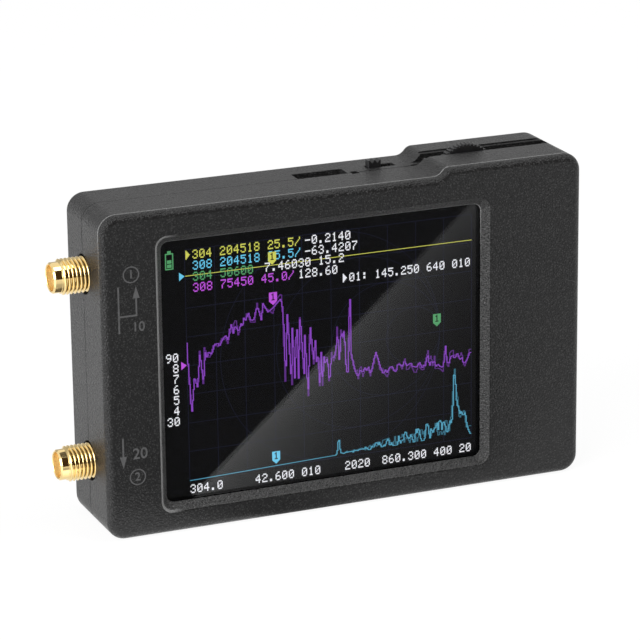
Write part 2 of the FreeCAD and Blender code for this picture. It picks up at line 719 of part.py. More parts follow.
def make_case_screws():
    """Four cross-head screws as separate solids in one node."""
    seat = "back_y - screw_well_deep"
    screws = []
    for name, x, z in screw_places():
        shank = doc.addObject("Part::Cylinder", "shank_" + name)
        drive(shank, "Radius", "screw_r")
        drive(shank, "Height", "screw_long")
        head = doc.addObject("Part::Cylinder", "head_" + name)
        drive(head, "Radius", "screw_head_r")
        drive(head, "Height", "screw_head_high")
        recess = doc.addObject("Part::MultiFuse", "recess_" + name)
        bars = []
        for turn in (0, 90):
            bar = doc.addObject("Part::Box", f"recess_bar_{name}_{turn}")
            drive(bar, "Length", "screw_r * 2")
            drive(bar, "Width", "screw_head_high / 2")
            drive(bar, "Height", "screw_r * 0.4")
            bar.Placement.Rotation = FreeCAD.Rotation(FreeCAD.Vector(0, 1, 0), turn)
            sideways = "screw_r" if turn == 0 else "screw_r * 0.2"
            upwards = "-screw_r * 0.2" if turn == 0 else "screw_r"
            drive(bar, "Placement.Base.x", f"{x} - {sideways}")
            drive(bar, "Placement.Base.y", f"{seat} + screw_head_high / 2")
            drive(bar, "Placement.Base.z", f"{z} + {upwards}")
            bars.append(bar)
        recess.Shapes = bars
        for part, low in ((shank, f"{seat} - screw_long"), (head, seat)):
            part.Placement.Rotation = FreeCAD.Rotation(FreeCAD.Vector(1, 0, 0), -90)
            drive(part, "Placement.Base.x", x)
            drive(part, "Placement.Base.y", low)
            drive(part, "Placement.Base.z", z)
        whole = doc.addObject("Part::Fuse", "screw_blank_" + name)
        whole.Base = shank
        whole.Tool = head
        screw = doc.addObject("Part::Cut", "screw_" + name)
        screw.Base = whole
        screw.Tool = recess
        screws.append(screw)
    group = doc.addObject("Part::Compound", "case_screws")
    group.Links = screws
    group.Label = "case_screws"
    SUBPARTS.append(group)


# ----------------------------------------------------------------------- display
def make_display():
    gasket = new_body("display_gasket")
    pad(gasket, "gasket_ring", "XZ", "face_in_y", "panel_y0",
        rectangle("display_x0", "display_x1", "display_z0", "display_z1"),
        rectangle("window_x0 - gasket_set_back", "window_x1 + gasket_set_back",
                  "window_z0 - gasket_set_back", "window_z1 + gasket_set_back"))

    panel = new_body("touch_panel")
    pad(panel, "panel_plate", "XZ", "panel_y0", "tray_y0",
        rectangle("display_x0", "display_x1", "display_z0", "display_z1"))
    dress(panel, "Fillet", "panel_corners", "tray_wall",
          runs_along("Y", ("display_x0", "display_z0"), ("display_x1", "display_z0"),
                     ("display_x0", "display_z1"), ("display_x1", "display_z1")))

    tray = new_body("display_frame")
    pad(tray, "tray_block", "XZ", "tray_y0", "tray_y1",
        rectangle("display_x0", "display_x1", "display_z0", "display_z1"))
    pocket(tray, "tray_hollow", "XZ", "tray_y0", "cell_y1",
           rectangle("display_x0 + tray_wall", "display_x1 - tray_wall",
                     "display_z0 + tray_wall", "display_z1 - tray_wall"))
    pocket(tray, "tail_gate", "YZ", "display_x1 - tray_wall - cell_gap", "display_x1 + cell_gap",
           rectangle("cell_y1 - tail_thick * 3", "cell_y1",
                     "display_mid_z - tail_wide / 2 - cell_gap",
                     "display_mid_z + tail_wide / 2 + cell_gap"))

    block("display_glass",
          "display_x0 + tray_wall + cell_gap", "display_x1 - tray_wall - cell_gap",
          "cell_y1 - cell_thick", "cell_y1",
          "display_z0 + tray_wall + cell_gap", "display_z1 - tray_wall - cell_gap")

    reach = "tail_wide / 2 + catch_side + pad_clear"
    for side, z0, z1 in (("low", "display_z0 + pad_inset", f"display_mid_z - ({reach})"),
                         ("high", f"display_mid_z + {reach}", "display_z1 - pad_inset")):
        block("display_pad_" + side, "display_x0 + pad_inset", "display_x1 - pad_inset",
              "tray_y1", "board_y0", z0, z1)


def make_display_tail():
    """Flat tail: out of the tray, round a bend, and back into the board connector."""
    body = new_body("display_tail")
    half = "(tail_back_y + tail_thick / 2 - tail_y0) / 2"
    pad(body, "tail_out", "XZ", "tail_y0", "tail_y0 + tail_thick",
        rectangle("display_x1 - tray_wall - cell_gap", "tail_turn_x",
                  "display_mid_z - tail_wide / 2", "display_mid_z + tail_wide / 2"))
    sketch = new_sketch(body, "tail_bend_sketch", "XY", "display_mid_z - tail_wide / 2")
    centre = FreeCAD.Vector(number("tail_turn_x"), number(f"tail_y0 + {half}"), 0)
    for radius in (half, f"{half} - tail_thick"):
        ring = Part.Circle(centre, FreeCAD.Vector(0, 0, 1), number(radius))
        arc = sketch.addGeometry(Part.ArcOfCircle(ring, -math.pi / 2, math.pi / 2), False)
        pin_point(sketch, arc, 3, "tail_turn_x", f"tail_y0 + {half}")
        index = sketch.addConstraint(Sketcher.Constraint("Radius", arc, number(radius)))
        drive(sketch, f"Constraints[{index}]", radius)
    for end, low in ((1, False), (2, True)):
        outer = sketch.getPoint(0, end)
        inner = sketch.getPoint(1, end)
        line = sketch.addGeometry(Part.LineSegment(outer, inner), False)
        sketch.addConstraint(Sketcher.Constraint("Coincident", 0, end, line, 1))
        sketch.addConstraint(Sketcher.Constraint("Coincident", 1, end, line, 2))
        sketch.addConstraint(Sketcher.Constraint("Vertical", line))
        rule = Sketcher.Constraint("DistanceX", -1, 1, line, 1, number("tail_turn_x"))
        index = sketch.addConstraint(rule)
        drive(sketch, f"Constraints[{index}]", "tail_turn_x")
    bend = body.newObject("PartDesign::Pad", "tail_bend")
    bend.Profile = sketch
    drive(bend, "Length", "tail_wide")
    STEPS.append((bend, "Pad"))
    pad(body, "tail_in", "XZ", "tail_back_y - tail_thick / 2", "tail_back_y + tail_thick / 2",
        rectangle("catch_x1 - catch_wide / 2", "tail_turn_x",
                  "display_mid_z - tail_wide / 2", "display_mid_z + tail_wide / 2"))

    catch = new_body("tail_connector")
    pad(catch, "catch_block", "XZ", "board_y0 - catch_high", "board_y0",
        rectangle("catch_x1 - catch_wide", "catch_x1",
                  "display_mid_z - tail_wide / 2 - catch_side",
                  "display_mid_z + tail_wide / 2 + catch_side"))
    pocket(catch, "catch_mouth", "YZ", "catch_x1 - catch_wide / 2 - cell_gap",
           "catch_x1 + cell_gap",
           rectangle("tail_back_y - tail_thick / 2 - solder_gap",
                     "tail_back_y + tail_thick / 2 + solder_gap",
                     "display_mid_z - tail_wide / 2 - cell_gap",
                     "display_mid_z + tail_wide / 2 + cell_gap"))


# -------------------------------------------------------------------- main board
def make_main_board():
    body = new_body("main_board")
    pad(body, "board_plate", "XZ", "board_y0", "board_y1",
        rectangle("board_x0", "board_x1", "board_z0", "board_z1"))
    for name, x, z in screw_places():
        pocket(body, "board_hole_" + name, "XZ", "board_y0", "board_y1",
               circle(x, z, "screw_hole_r"))
    pocket(body, "jog_cut_out", "XZ", "board_y0", "board_y1",
           rectangle("jog_x - base_out_half - notch_gap", "jog_x + base_out_half + notch_gap",
                     "base_z0 - notch_gap", "board_z1 + notch_gap"))


# ------------------------------------------------------------------------- ports
def thread_profile():
    """Half section of the port body: tip, ring-shaped thread ridges, neck."""
    start = "port_x0 + port_tip_long"
    count = int(number(f"(left_x - ({start})) / thread_pitch"))
    corners = [
        ("port_x0", "port_mouth_r"),
        ("port_x0", "port_tip_r - port_chamfer"),
        ("port_x0 + port_chamfer", "port_tip_r"),
        (start, "port_tip_r"),
    ]
    for turn in range(count):
        here = f"{start} + thread_pitch * {turn}"
        side = "(thread_pitch - thread_crest) / 2"
        corners += [
            (f"{here} + {side}", "thread_r"),
            (f"{here} + {side} + thread_crest", "thread_r"),
            (f"{here} + thread_pitch", "thread_r - thread_deep"),
        ]
    corners += [
        ("left_x", "port_neck_r"),
        ("flange_x0", "port_neck_r"),
        ("flange_x0", "insulator_r"),
        ("port_x0 + port_mouth_deep", "insulator_r"),
        ("port_x0 + port_mouth_deep", "port_mouth_r"),
    ]
    return polygon(*corners)


def make_port(name, place_z):
    """One threaded RF port, modelled about its own axis and placed on the parting line."""

    def place(body):
        drive(body, "Placement.Base.y", "seam_y")
        drive(body, "Placement.Base.z", place_z)

    body = new_body(name + "_body")
    turned(body, "Revolution", name + "_barrel", "XZ", "0", "H_Axis", thread_profile())
    pad(body, name + "_flange", "YZ", "flange_x0", "flange_x1",
        rectangle("-flange_half", "flange_half", "-flange_half", "flange_half"),
        circle("0", "0", "insulator_r"))
    inner = "flange_half - leg_inset - leg_wide"
    outer = "flange_half - leg_inset"
    for side, low, high in (("low", f"-({outer})", f"-({inner})"), ("high", inner, outer)):
        pad(body, f"{name}_back_leg_{side}", "YZ", "flange_x1", "flange_x1 + leg_long",
            rectangle("board_y1 - seam_y", "board_y1 - seam_y + leg_wide", low, high))
        pad(body, f"{name}_front_leg_{side}", "YZ", "flange_x1", "flange_x1 + leg_long",
            rectangle("board_y0 - seam_y - leg_wide", "board_y0 - seam_y", low, high))
    place(body)

    insulator = new_body(name + "_insulator")
    pad(insulator, name + "_insulator_tube", "YZ", "port_x0 + port_mouth_deep", "flange_x1",
        circle("0", "0", "insulator_r - insulator_gap"),
        circle("0", "0", "contact_r + insulator_gap"))
    place(insulator)

    contact = new_body(name + "_contact")
    pad(contact, name + "_contact_rod", "YZ", "port_x0 + port_mouth_deep", "flange_x1",
        circle("0", "0", "contact_r"))
    pocket(contact, name + "_contact_socket", "YZ", "port_x0 + port_mouth_deep",
           "port_x0 + port_mouth_deep + contact_hole_deep", circle("0", "0", "contact_hole_r"))
    pad(contact, name + "_contact_tail", "YZ", "flange_x1", "flange_x1 + tail_long",
        circle("0", "0", "tail_r - solder_gap"))
    place(contact)


# -------------------------------------------------------------------- USB socket
def make_usb():
    body = new_body("usb_shell")
    half = "usb_wide / 2"
    bend = "usb_deep / 2 - solder_gap"
    pad(body, "usb_tube", "XY", "usb_z0", "usb_z1",
        rounded(f"usb_x - {half}", f"usb_x + {half}", "usb_y0", "usb_y1", bend))
    pocket(body, "usb_cavity", "XY", "usb_z0 + usb_wall", "usb_z1",
           rounded(f"usb_x - {half} + usb_wall", f"usb_x + {half} - usb_wall",
                   "usb_y0 + usb_wall", "usb_y1 - usb_wall", f"{bend} - usb_wall"))
    # four solder feet reach down to the board
    for side, x in (("left", f"usb_x - {half}"), ("right", f"usb_x + {half} - usb_wall")):
        for end, z in (("low", "usb_z0 + usb_wall"), ("high", "board_z1 - usb_foot * 2")):
            pad(body, f"usb_foot_{side}_{end}", "XZ", "board_y1", "usb_y0 + usb_deep / 2",
                rectangle(x, f"{x} + usb_wall", z, f"{z} + usb_foot"))

    tongue = new_body("usb_tongue")
    middle = "(usb_y0 + usb_y1) / 2"
    pad(tongue, "usb_base", "XY", "usb_z0 + usb_wall", "usb_z0 + usb_wall + usb_base_long",
        rounded(f"usb_x - {half} + usb_wall + solder_gap",
                f"usb_x + {half} - usb_wall - solder_gap",
                "usb_y0 + usb_wall + solder_gap", "usb_y1 - usb_wall - solder_gap",
                f"{bend} - usb_wall - solder_gap * 2"))
    pad(tongue, "usb_blade", "XY", "usb_z0 + usb_wall + usb_base_long", "usb_z1 - usb_foot",
        rectangle(f"usb_x - {half} + usb_tongue_side", f"usb_x + {half} - usb_tongue_side",
                  f"{middle} - usb_tongue_thick / 2", f"{middle} + usb_tongue_thick / 2"))


# ------------------------------------------------------------------ slide switch


def make_switch():
    body = new_body("switch_body")
    pad(body, "switch_block", "XZ", "board_y1", "switch_y1",
        rectangle("switch_x0", "switch_x1", "switch_z0", "switch_z1"))
    pocket(body, "switch_hollow", "XY", "switch_z0 + switch_wall", "switch_z1 - switch_wall",
           rectangle("switch_x0 + switch_wall", "switch_x1 - switch_wall",
                     "knob_y0 - runner_gap", "knob_y1 + runner_gap"))
    pocket(body, "stem_slot", "XY", "switch_z1 - switch_wall", "switch_z1",
           rectangle("knob_x - knob_stem_wide / 2 - knob_gap",
                     "knob_x + knob_stem_wide / 2 + switch_travel + knob_gap",
                     "knob_y - knob_stem_thick / 2 - runner_gap",
                     "knob_y + knob_stem_thick / 2 + runner_gap"))

    knob = new_body("switch_knob")
    ridge = "knob_wide / 6"
    pad(knob, "knob_cap", "XZ", "knob_y0", "knob_y1", polygon(
        ("knob_x0", "wall_high_z + knob_gap"),
        ("knob_x1", "wall_high_z + knob_gap"),
        ("knob_x1", "knob_z1"),
        (f"knob_x1 - {ridge}", "knob_z1"),
        ("knob_x + knob_wide / 5", "knob_z1 - knob_groove"),
        (f"knob_x + {ridge} / 2", "knob_z1"),
        (f"knob_x - {ridge} / 2", "knob_z1"),
        ("knob_x - knob_wide / 5", "knob_z1 - knob_groove"),
        (f"knob_x0 + {ridge}", "knob_z1"),
        ("knob_x0", "knob_z1"),
    ))
    pad(knob, "knob_stem", "XY", "runner_z0", "wall_high_z + knob_gap",
        rectangle("knob_x - knob_stem_wide / 2", "knob_x + knob_stem_wide / 2",
                  "knob_y - knob_stem_thick / 2", "knob_y + knob_stem_thick / 2"))
    pad(knob, "knob_runner", "XY", "runner_z0", "runner_z0 + runner_high",
        rectangle("knob_x - runner_half", "knob_x + runner_half", "knob_y0", "knob_y1"))


# --------------------------------------------------------------------- jog wheel
def arc_band(inner, outer, half_angle):
    """Ring segment about the jog axis, upright, between two radii."""

    def draw(sketch):
        angle = math.radians(number(half_angle))
        centre = FreeCAD.Vector(number("jog_x"), number("jog_z"), 0)
        up = FreeCAD.Vector(0, 0, 1)
        arcs = []
        for radius in (inner, outer):
            ring = Part.Circle(centre, up, number(radius))
            arc = Part.ArcOfCircle(ring, math.pi / 2 - angle, math.pi / 2 + angle)
            edge = sketch.addGeometry(arc, False)
            pin_point(sketch, edge, 3, "jog_x", "jog_z")
            index = sketch.addConstraint(Sketcher.Constraint("Radius", edge, number(radius)))
            drive(sketch, f"Constraints[{index}]", radius)
            arcs.append(edge)
        for end, side in ((1, 1), (2, -1)):
            inside, outside = (sketch.getPoint(edge, end) for edge in arcs)
            line = sketch.addGeometry(Part.LineSegment(inside, outside), False)
            sketch.addConstraint(Sketcher.Constraint("Coincident", arcs[0], end, line, 1))
            sketch.addConstraint(Sketcher.Constraint("Coincident", arcs[1], end, line, 2))
            for edge, radius in zip(arcs, (inner, outer)):
                text = f"jog_x + {side} * ({radius}) * sin({half_angle} * 1deg)"
                rule = Sketcher.Constraint("DistanceX", -1, 1, edge, end, number(text))
                index = sketch.addConstraint(rule)
                drive(sketch, f"Constraints[{index}]", text)

    return draw


def make_jog():
    wheel = new_body("jog_wheel")
    pad(wheel, "jog_rim_band", "XZ", "jog_y0", "jog_y1",
        arc_band("jog_r - jog_rim", "jog_r", "jog_half_angle"))
    middle = "(jog_y0 + jog_y1) / 2"
    pad(wheel, "jog_web_band", "XZ", f"{middle} - jog_web / 2", f"{middle} + jog_web / 2",
        arc_band("jog_hub_r * 0.9", "jog_r - jog_rim / 2", "jog_half_angle"))
    pad(wheel, "jog_hub", "XZ", "jog_y0", "jog_y1", circle("jog_x", "jog_z", "jog_hub_r"))
    pad(wheel, "jog_lever_tail", "XZ", "jog_y0", "jog_y1",
        rectangle("jog_x - jog_tail_wide / 2", "jog_x + jog_tail_wide / 2",
                  "jog_z - jog_tail_long", "jog_z"))
    pocket(wheel, "jog_bore", "XZ", "jog_y0", "jog_y1",
           circle("jog_x", "jog_z", "jog_pin_r + jog_pin_gap"))
    reach = int(number("(jog_half_angle - tooth_half_gap) / tooth_pitch"))
    for step in range(-reach, reach + 1):
        corners = []
        for radius, turn in (
                ("jog_r - tooth_deep", f"{step} * tooth_pitch"),
                ("jog_r + tooth_deep", f"{step} * tooth_pitch + tooth_half_gap * 2"),
                ("jog_r + tooth_deep", f"{step} * tooth_pitch - tooth_half_gap * 2")):
            corners.append((f"jog_x + ({radius}) * sin(({turn}) * 1deg)",
                            f"jog_z + ({radius}) * cos(({turn}) * 1deg)"))
        pocket(wheel, f"groove_{step + reach}", "XZ", "jog_y0", "jog_y1", polygon(*corners))

    carriage = new_body("jog_carriage")
    pad(carriage, "carriage_plate", "XZ", "carriage_y0", "carriage_y1",
        rectangle("jog_x - carriage_half", "jog_x + carriage_half",
                  "carriage_z0", "carriage_z1"))
    pad(carriage, "carriage_pin", "XZ", "jog_y0 + carriage_gap", "carriage_y0",
        circle("jog_x", "jog_z", "jog_pin_r"))
    for side, x0, x1 in (
            ("left", "jog_x - carriage_half", "jog_x - carriage_half + carriage_arm"),
            ("right", "jog_x + carriage_half - carriage_arm", "jog_x + carriage_half")):
        pad(carriage, "carriage_arm_" + side, "XZ", "jog_y0", "carriage_y0",
            rectangle(x0, x1, "carriage_z0", "jog_z - jog_hub_r + carriage_arm"))

    base = new_body("jog_base")
    pad(base, "base_block", "XZ", "base_y0", "base_y1",
        rectangle("jog_x - base_out_half", "jog_x + base_out_half", "base_z0", "base_z1"))
    pocket(base, "base_hollow", "XZ", "base_in_y0", "base_y1",
           rectangle("jog_x - base_in_half", "jog_x + base_in_half",
                     "base_z0 + base_wall", "base_z1 + base_wall"))
    for side, x0, x1 in (
            ("left", "jog_x - base_out_half - base_ear", "jog_x - base_out_half"),
            ("right", "jog_x + base_out_half", "jog_x + base_out_half + base_ear")):
        pad(base, "base_ear_" + side, "XZ", "board_y1", "board_y1 + base_ear_thick",
            rectangle(x0, x1, "base_z0", "board_z1"))

    block("jog_cover", "jog_x - base_out_half", "jog_x + base_out_half",
          "base_y1", "base_y1 + cover_thick", "base_z0", "base_z1")

    spring = new_body("jog_push_spring")
    low = "base_z0 + base_wall + spring_wire_r"
    high = "carriage_z0 - spring_wire_r"
    sketch = new_sketch(spring, "spring_wire_sketch", "XZ", "0")
    circle("spring_r", "0", "spring_wire_r")(sketch)
    coil = spring.newObject("PartDesign::AdditiveHelix", "spring_coil")
    coil.Profile = sketch
    coil.ReferenceAxis = (sketch, ["V_Axis"])
    coil.Mode = "height-turns-angle"
    drive(coil, "Height", f"{high} - ({low})")
    drive(coil, "Turns", "spring_turns")
    drive(spring, "Placement.Base.x", "jog_x")
    drive(spring, "Placement.Base.y", "(carriage_y0 + carriage_y1) / 2")
    drive(spring, "Placement.Base.z", low)

    hairpin = new_body("jog_centring_spring")
    leg = "jog_tail_wide / 2 + hairpin_gap"
    pad(hairpin, "hairpin_wire_shape", "XZ",
        f"{middle} - hairpin_wire / 2", f"{middle} + hairpin_wire / 2",
        polygon(
            (f"jog_x - ({leg}) - hairpin_wire", "jog_z - jog_hub_r - hairpin_wire"),
            ("jog_x - carriage_half + carriage_arm", "jog_z - jog_hub_r - hairpin_wire"),
            ("jog_x - carriage_half + carriage_arm", "jog_z - jog_hub_r - hairpin_wire * 2"),
            (f"jog_x - ({leg}) - hairpin_wire * 2", "jog_z - jog_hub_r - hairpin_wire * 2"),
            (f"jog_x - ({leg}) - hairpin_wire", "jog_z - jog_tail_long"),
            (f"jog_x - ({leg})", "jog_z - jog_tail_long"),
            (f"jog_x - ({leg})", "jog_z - jog_hub_r - hairpin_wire"),
        ),
        polygon(
            (f"jog_x + {leg}", "jog_z - jog_hub_r - hairpin_wire"),
            (f"jog_x + {leg}", "jog_z - jog_tail_long"),
            (f"jog_x + {leg} + hairpin_wire", "jog_z - jog_tail_long"),
            (f"jog_x + {leg} + hairpin_wire * 2", "jog_z - jog_hub_r - hairpin_wire * 2"),
            ("jog_x + carriage_half - carriage_arm", "jog_z - jog_hub_r - hairpin_wire * 2"),
            ("jog_x + carriage_half - carriage_arm", "jog_z - jog_hub_r - hairpin_wire"),
        ))


# ------------------------------------------------------------- behind the board
def make_can(label, z0, z1):
    """Open-bottomed shield can standing on the board."""
    body = new_body(label)
    pad(body, label + "_block", "XZ", "board_y1", "can_y1", rectangle("can_x0", "can_x1", z0, z1))
    dress(body, "Fillet", label + "_edge", "can_wall * 2", lies_at_y("can_y1"))
    pocket(body, label + "_hollow", "XZ", "board_y1", "can_y1 - can_wall",
           rectangle("can_x0 + can_wall", "can_x1 - can_wall",
                     f"{z0} + can_wall", f"{z1} - can_wall"))


def make_battery():
    cell = new_body("battery_cell")
    pad(cell, "cell_block", "XZ", "battery_y0", "battery_y1",
        rectangle("battery_x0", "battery_x1", "battery_z0", "battery_z1"))
    dress(cell, "Fillet", "cell_edges", "battery_round", runs_along("Z"))

    for side, z0, z1 in (("low", "battery_z0 + tape_inset", "can_mid_z - tape_inset"),
                         ("high", "can_mid_z + tape_inset", "battery_z1 - tape_inset")):
        block("battery_tape_" + side, "battery_x0 + tape_inset", "can_x1 - tape_inset",
              "can_y1", "battery_y0", z0, z1)

    block("battery_guard", "battery_x1", "battery_x1 + guard_wide",
          "guard_y0", "guard_y0 + board_thick / 2",
          "socket_rise - socket_high * 2", "socket_rise + socket_high * 2")

    socket = new_body("battery_socket")
    pad(socket, "socket_block", "XZ", "board_y1", "board_y1 + socket_deep",
        rectangle("socket_x - socket_wide / 2", "socket_x + socket_wide / 2",
                  "socket_rise - socket_high / 2", "socket_rise + socket_high / 2"))
    pocket(socket, "socket_hollow", "YZ", "socket_x - socket_wide / 2",
           "socket_x + socket_wide / 2 - socket_wall",
           rectangle("board_y1 + socket_wall", "board_y1 + socket_deep - socket_wall",
                     "socket_rise - socket_high / 2 + socket_wall",
                     "socket_rise + socket_high / 2 - socket_wall"))

    block("battery_plug", "socket_x - socket_wide / 2 - plug_past",
          "socket_x + socket_wide / 2 - socket_wall - plug_gap",
          "board_y1 + socket_wall + plug_gap", "board_y1 + socket_deep - socket_wall - plug_gap",
          "socket_rise - socket_high / 2 + socket_wall + plug_gap",
          "socket_rise + socket_high / 2 - socket_wall - plug_gap")

    for colour, side in (("red", 1), ("black", -1)):
        make_lead("battery_lead_" + colour, side)


def make_lead(label, side):
    """One battery lead: straight out of the guard board, a tangent double bend, into the plug."""
    start = FreeCAD.Vector(number("battery_x1 + guard_wide"), number("lead_y"),
                           number(f"socket_rise + {side} * lead_apart"))
    end = FreeCAD.Vector(number("plug_x"), number("plug_y"), start.z)
    middle_x = (start.x + end.x) / 2
    drop = start.y - end.y
    sense = math.copysign(1, drop)
    # two equal arcs carry the drop, so each takes half and turns at most a right angle
    radius = max(number("lead_bend"), abs(drop) / 2)
    turn = math.acos(1 - abs(drop) / (2 * radius))
    half_run = radius * math.sin(turn)
    entry = FreeCAD.Vector(middle_x - half_run, start.y, start.z)
    leave = FreeCAD.Vector(middle_x + half_run, end.y, end.z)
    centre = FreeCAD.Vector(middle_x, (start.y + end.y) / 2, start.z)
    bow = radius * math.sin(turn / 2)
    dip = radius * (1 - math.cos(turn / 2))
    first = FreeCAD.Vector(entry.x + bow, entry.y - sense * dip, start.z)
    last = FreeCAD.Vector(leave.x - bow, leave.y + sense * dip, start.z)
    path = Part.Wire([
        Part.LineSegment(start, entry).toShape(),
        Part.Arc(entry, first, centre).toShape(),
        Part.Arc(centre, last, leave).toShape(),
        Part.LineSegment(leave, end).toShape(),
    ])
    ring = Part.Circle(start, FreeCAD.Vector(1, 0, 0), number("lead_r")).toShape()
    lead = doc.addObject("Part::Feature", label)
    lead.Shape = path.makePipeShell([Part.Wire([ring])], True, False)
    lead.Label = label
    SUBPARTS.append(lead)
    expected = math.pi * number("lead_r") ** 2 * path.Length
    if not math.isclose(lead.Shape.Volume, expected, rel_tol=0.02):
        raise RuntimeError(f"{label} doesn't have the volume of its route")


def make_small_parts():
    for label, corner_x, corner_z in CHIP_CORNERS:
        x = f"{corner_x} + {label}_in"
        z = f"{corner_z} + {label}_up"
        chip = block(label, f"{x} - {label}_wide / 2", f"{x} + {label}_wide / 2",
                     "board_y1", "board_y1 + chip_high",
                     f"{z} - {label}_tall / 2", f"{z} + {label}_tall / 2")
        dress(chip, "Chamfer", label + "_edge", "chip_edge", lies_at_y("board_y1 + chip_high"))

    coil = block("power_inductor", "coil_x - coil_size / 2", "coil_x + coil_size / 2",
                 "board_y1", "board_y1 + coil_high",
                 "can_z0", "can_z0 + coil_size")
    dress(coil, "Chamfer", "coil_corners", "coil_corner", runs_along("Y"))

    crystal = block("crystal", "crystal_x - crystal_wide / 2", "crystal_x + crystal_wide / 2",
                    "board_y1", "board_y1 + chip_high",
                    "can_z0 + crystal_up", "can_z0 + crystal_up + crystal_tall")
    dress(crystal, "Fillet", "crystal_corners", "crystal_round", runs_along("Y"))

    for index in (1, 2):
        x = f"switch_x1 + light_step * {index}"
        block(f"status_light_{index}", f"{x} - light_size / 4", f"{x} + light_size / 4",
              "board_y1", "board_y1 + light_high",
              "board_z1 - light_drop", "board_z1 - light_drop + light_size")


# --------------------------------------------------------------------- build all
make_front_shell()
make_rear_shell()
make_case_screws()
make_display()
make_display_tail()
make_main_board()
make_port("port_1", "port_1_z")
make_port("port_2", "port_2_z")
make_usb()
make_switch()
make_jog()
make_can("shield_can_high", "can_mid_z + can_split / 2", "can_z1")
make_can("shield_can_low", "can_z0", "can_mid_z - can_split / 2")
make_battery()
make_small_parts()
doc.recompute()

for item in doc.Objects:
    if "Invalid" in item.State or "Error" in item.State:
        raise RuntimeError(f"{item.Label} failed: {item.State}")
for made, kind in STEPS:
    base = made.BaseFeature
    before = base.Shape.Volume if base else 0.0
    grew = made.Shape.Volume - before
    wants_more = kind in ("Pad", "Revolution", "AdditiveLoft")
    if (grew > 1e-6) != wants_more or abs(grew) < 1e-6:
        raise RuntimeError(f"{made.Label} changed the volume by {grew:.4f}")
for item in SUBPARTS:
    if item.Shape.isNull() or not item.Shape.isValid():
        raise RuntimeError(f"{item.Label} has no valid shape")

os.makedirs("parts", exist_ok=True)
for item in SUBPARTS:
    item.Shape.exportStep(f"parts/{item.Label}.step")
print(len(SUBPARTS), "sub-parts written")
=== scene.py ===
"""Visual model of a pocket antenna analyzer, built round its packed CAD frame.

The case stands on its long bottom edge. X runs from the port side to the jog side,
Y from the screen face to the back, Z up. Shapes are modelled in millimetres and
turned into metres as each piece is finished.
"""
import functools
import json
import math
import random
from types import SimpleNamespace

import bmesh
import bpy
from mathutils import Matrix, Vector

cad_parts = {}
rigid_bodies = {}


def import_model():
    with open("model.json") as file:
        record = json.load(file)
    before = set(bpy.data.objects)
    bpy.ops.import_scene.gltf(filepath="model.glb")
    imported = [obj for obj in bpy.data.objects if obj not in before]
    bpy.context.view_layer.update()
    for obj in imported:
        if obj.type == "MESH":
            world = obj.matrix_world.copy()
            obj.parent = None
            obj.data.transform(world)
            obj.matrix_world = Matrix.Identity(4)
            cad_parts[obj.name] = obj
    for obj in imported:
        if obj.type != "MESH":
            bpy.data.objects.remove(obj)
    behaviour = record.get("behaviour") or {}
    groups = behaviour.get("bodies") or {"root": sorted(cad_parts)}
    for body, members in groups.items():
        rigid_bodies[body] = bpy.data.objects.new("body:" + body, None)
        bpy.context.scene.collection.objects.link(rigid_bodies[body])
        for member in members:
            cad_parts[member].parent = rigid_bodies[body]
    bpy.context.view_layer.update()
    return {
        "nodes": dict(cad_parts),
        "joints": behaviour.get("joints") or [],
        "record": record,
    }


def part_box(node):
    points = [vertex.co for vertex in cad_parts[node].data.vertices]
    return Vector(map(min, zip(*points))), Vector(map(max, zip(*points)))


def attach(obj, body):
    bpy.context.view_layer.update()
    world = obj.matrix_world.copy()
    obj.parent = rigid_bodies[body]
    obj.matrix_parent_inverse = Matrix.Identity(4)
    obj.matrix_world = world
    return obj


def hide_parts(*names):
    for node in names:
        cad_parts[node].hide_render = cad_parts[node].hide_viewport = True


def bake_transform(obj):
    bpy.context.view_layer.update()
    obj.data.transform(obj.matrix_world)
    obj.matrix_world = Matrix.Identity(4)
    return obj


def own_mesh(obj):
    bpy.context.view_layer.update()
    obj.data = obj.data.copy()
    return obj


bl_info = {
    "name": "Pocket antenna analyzer",
    "version": (1, 0, 0),
    "blender": (4, 5, 0),
    "location": "View3D > Sidebar > Analyzer",
    "description": "Builds the visual pieces of a pocket antenna analyzer round its CAD frame",
    "category": "Object",
}

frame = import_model()

MM = 0.001
TINY = 1e-4  # in millimetres, points closer than this are one
AXES = {"XZ": 1, "XY": 2, "YZ": 0}  # the axis that a plane's level is measured along
ARC = 10  # steps in a rounded corner
ROUND = 96  # steps round a turned shape
PAST = 1.0  # how far a cutter reaches past what it cuts
SUNK = 0.3  # how far the foot of a post or stem is sunk in what it stands on
STEP_SLOPE = math.radians(45.0)


def node_box(*nodes):
    """Lowest and highest corner of some CAD nodes together, in millimetres."""
    boxes = [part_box(node) for node in nodes]
    low = Vector(min(box[0][axis] for box in boxes) for axis in range(3))
    high = Vector(max(box[1][axis] for box in boxes) for axis in range(3))
    return low / MM, high / MM


def named(rows, name):
    """The row with a name, out of the frame's joints or mounts."""
    return next(row for row in rows if row["name"] == name)


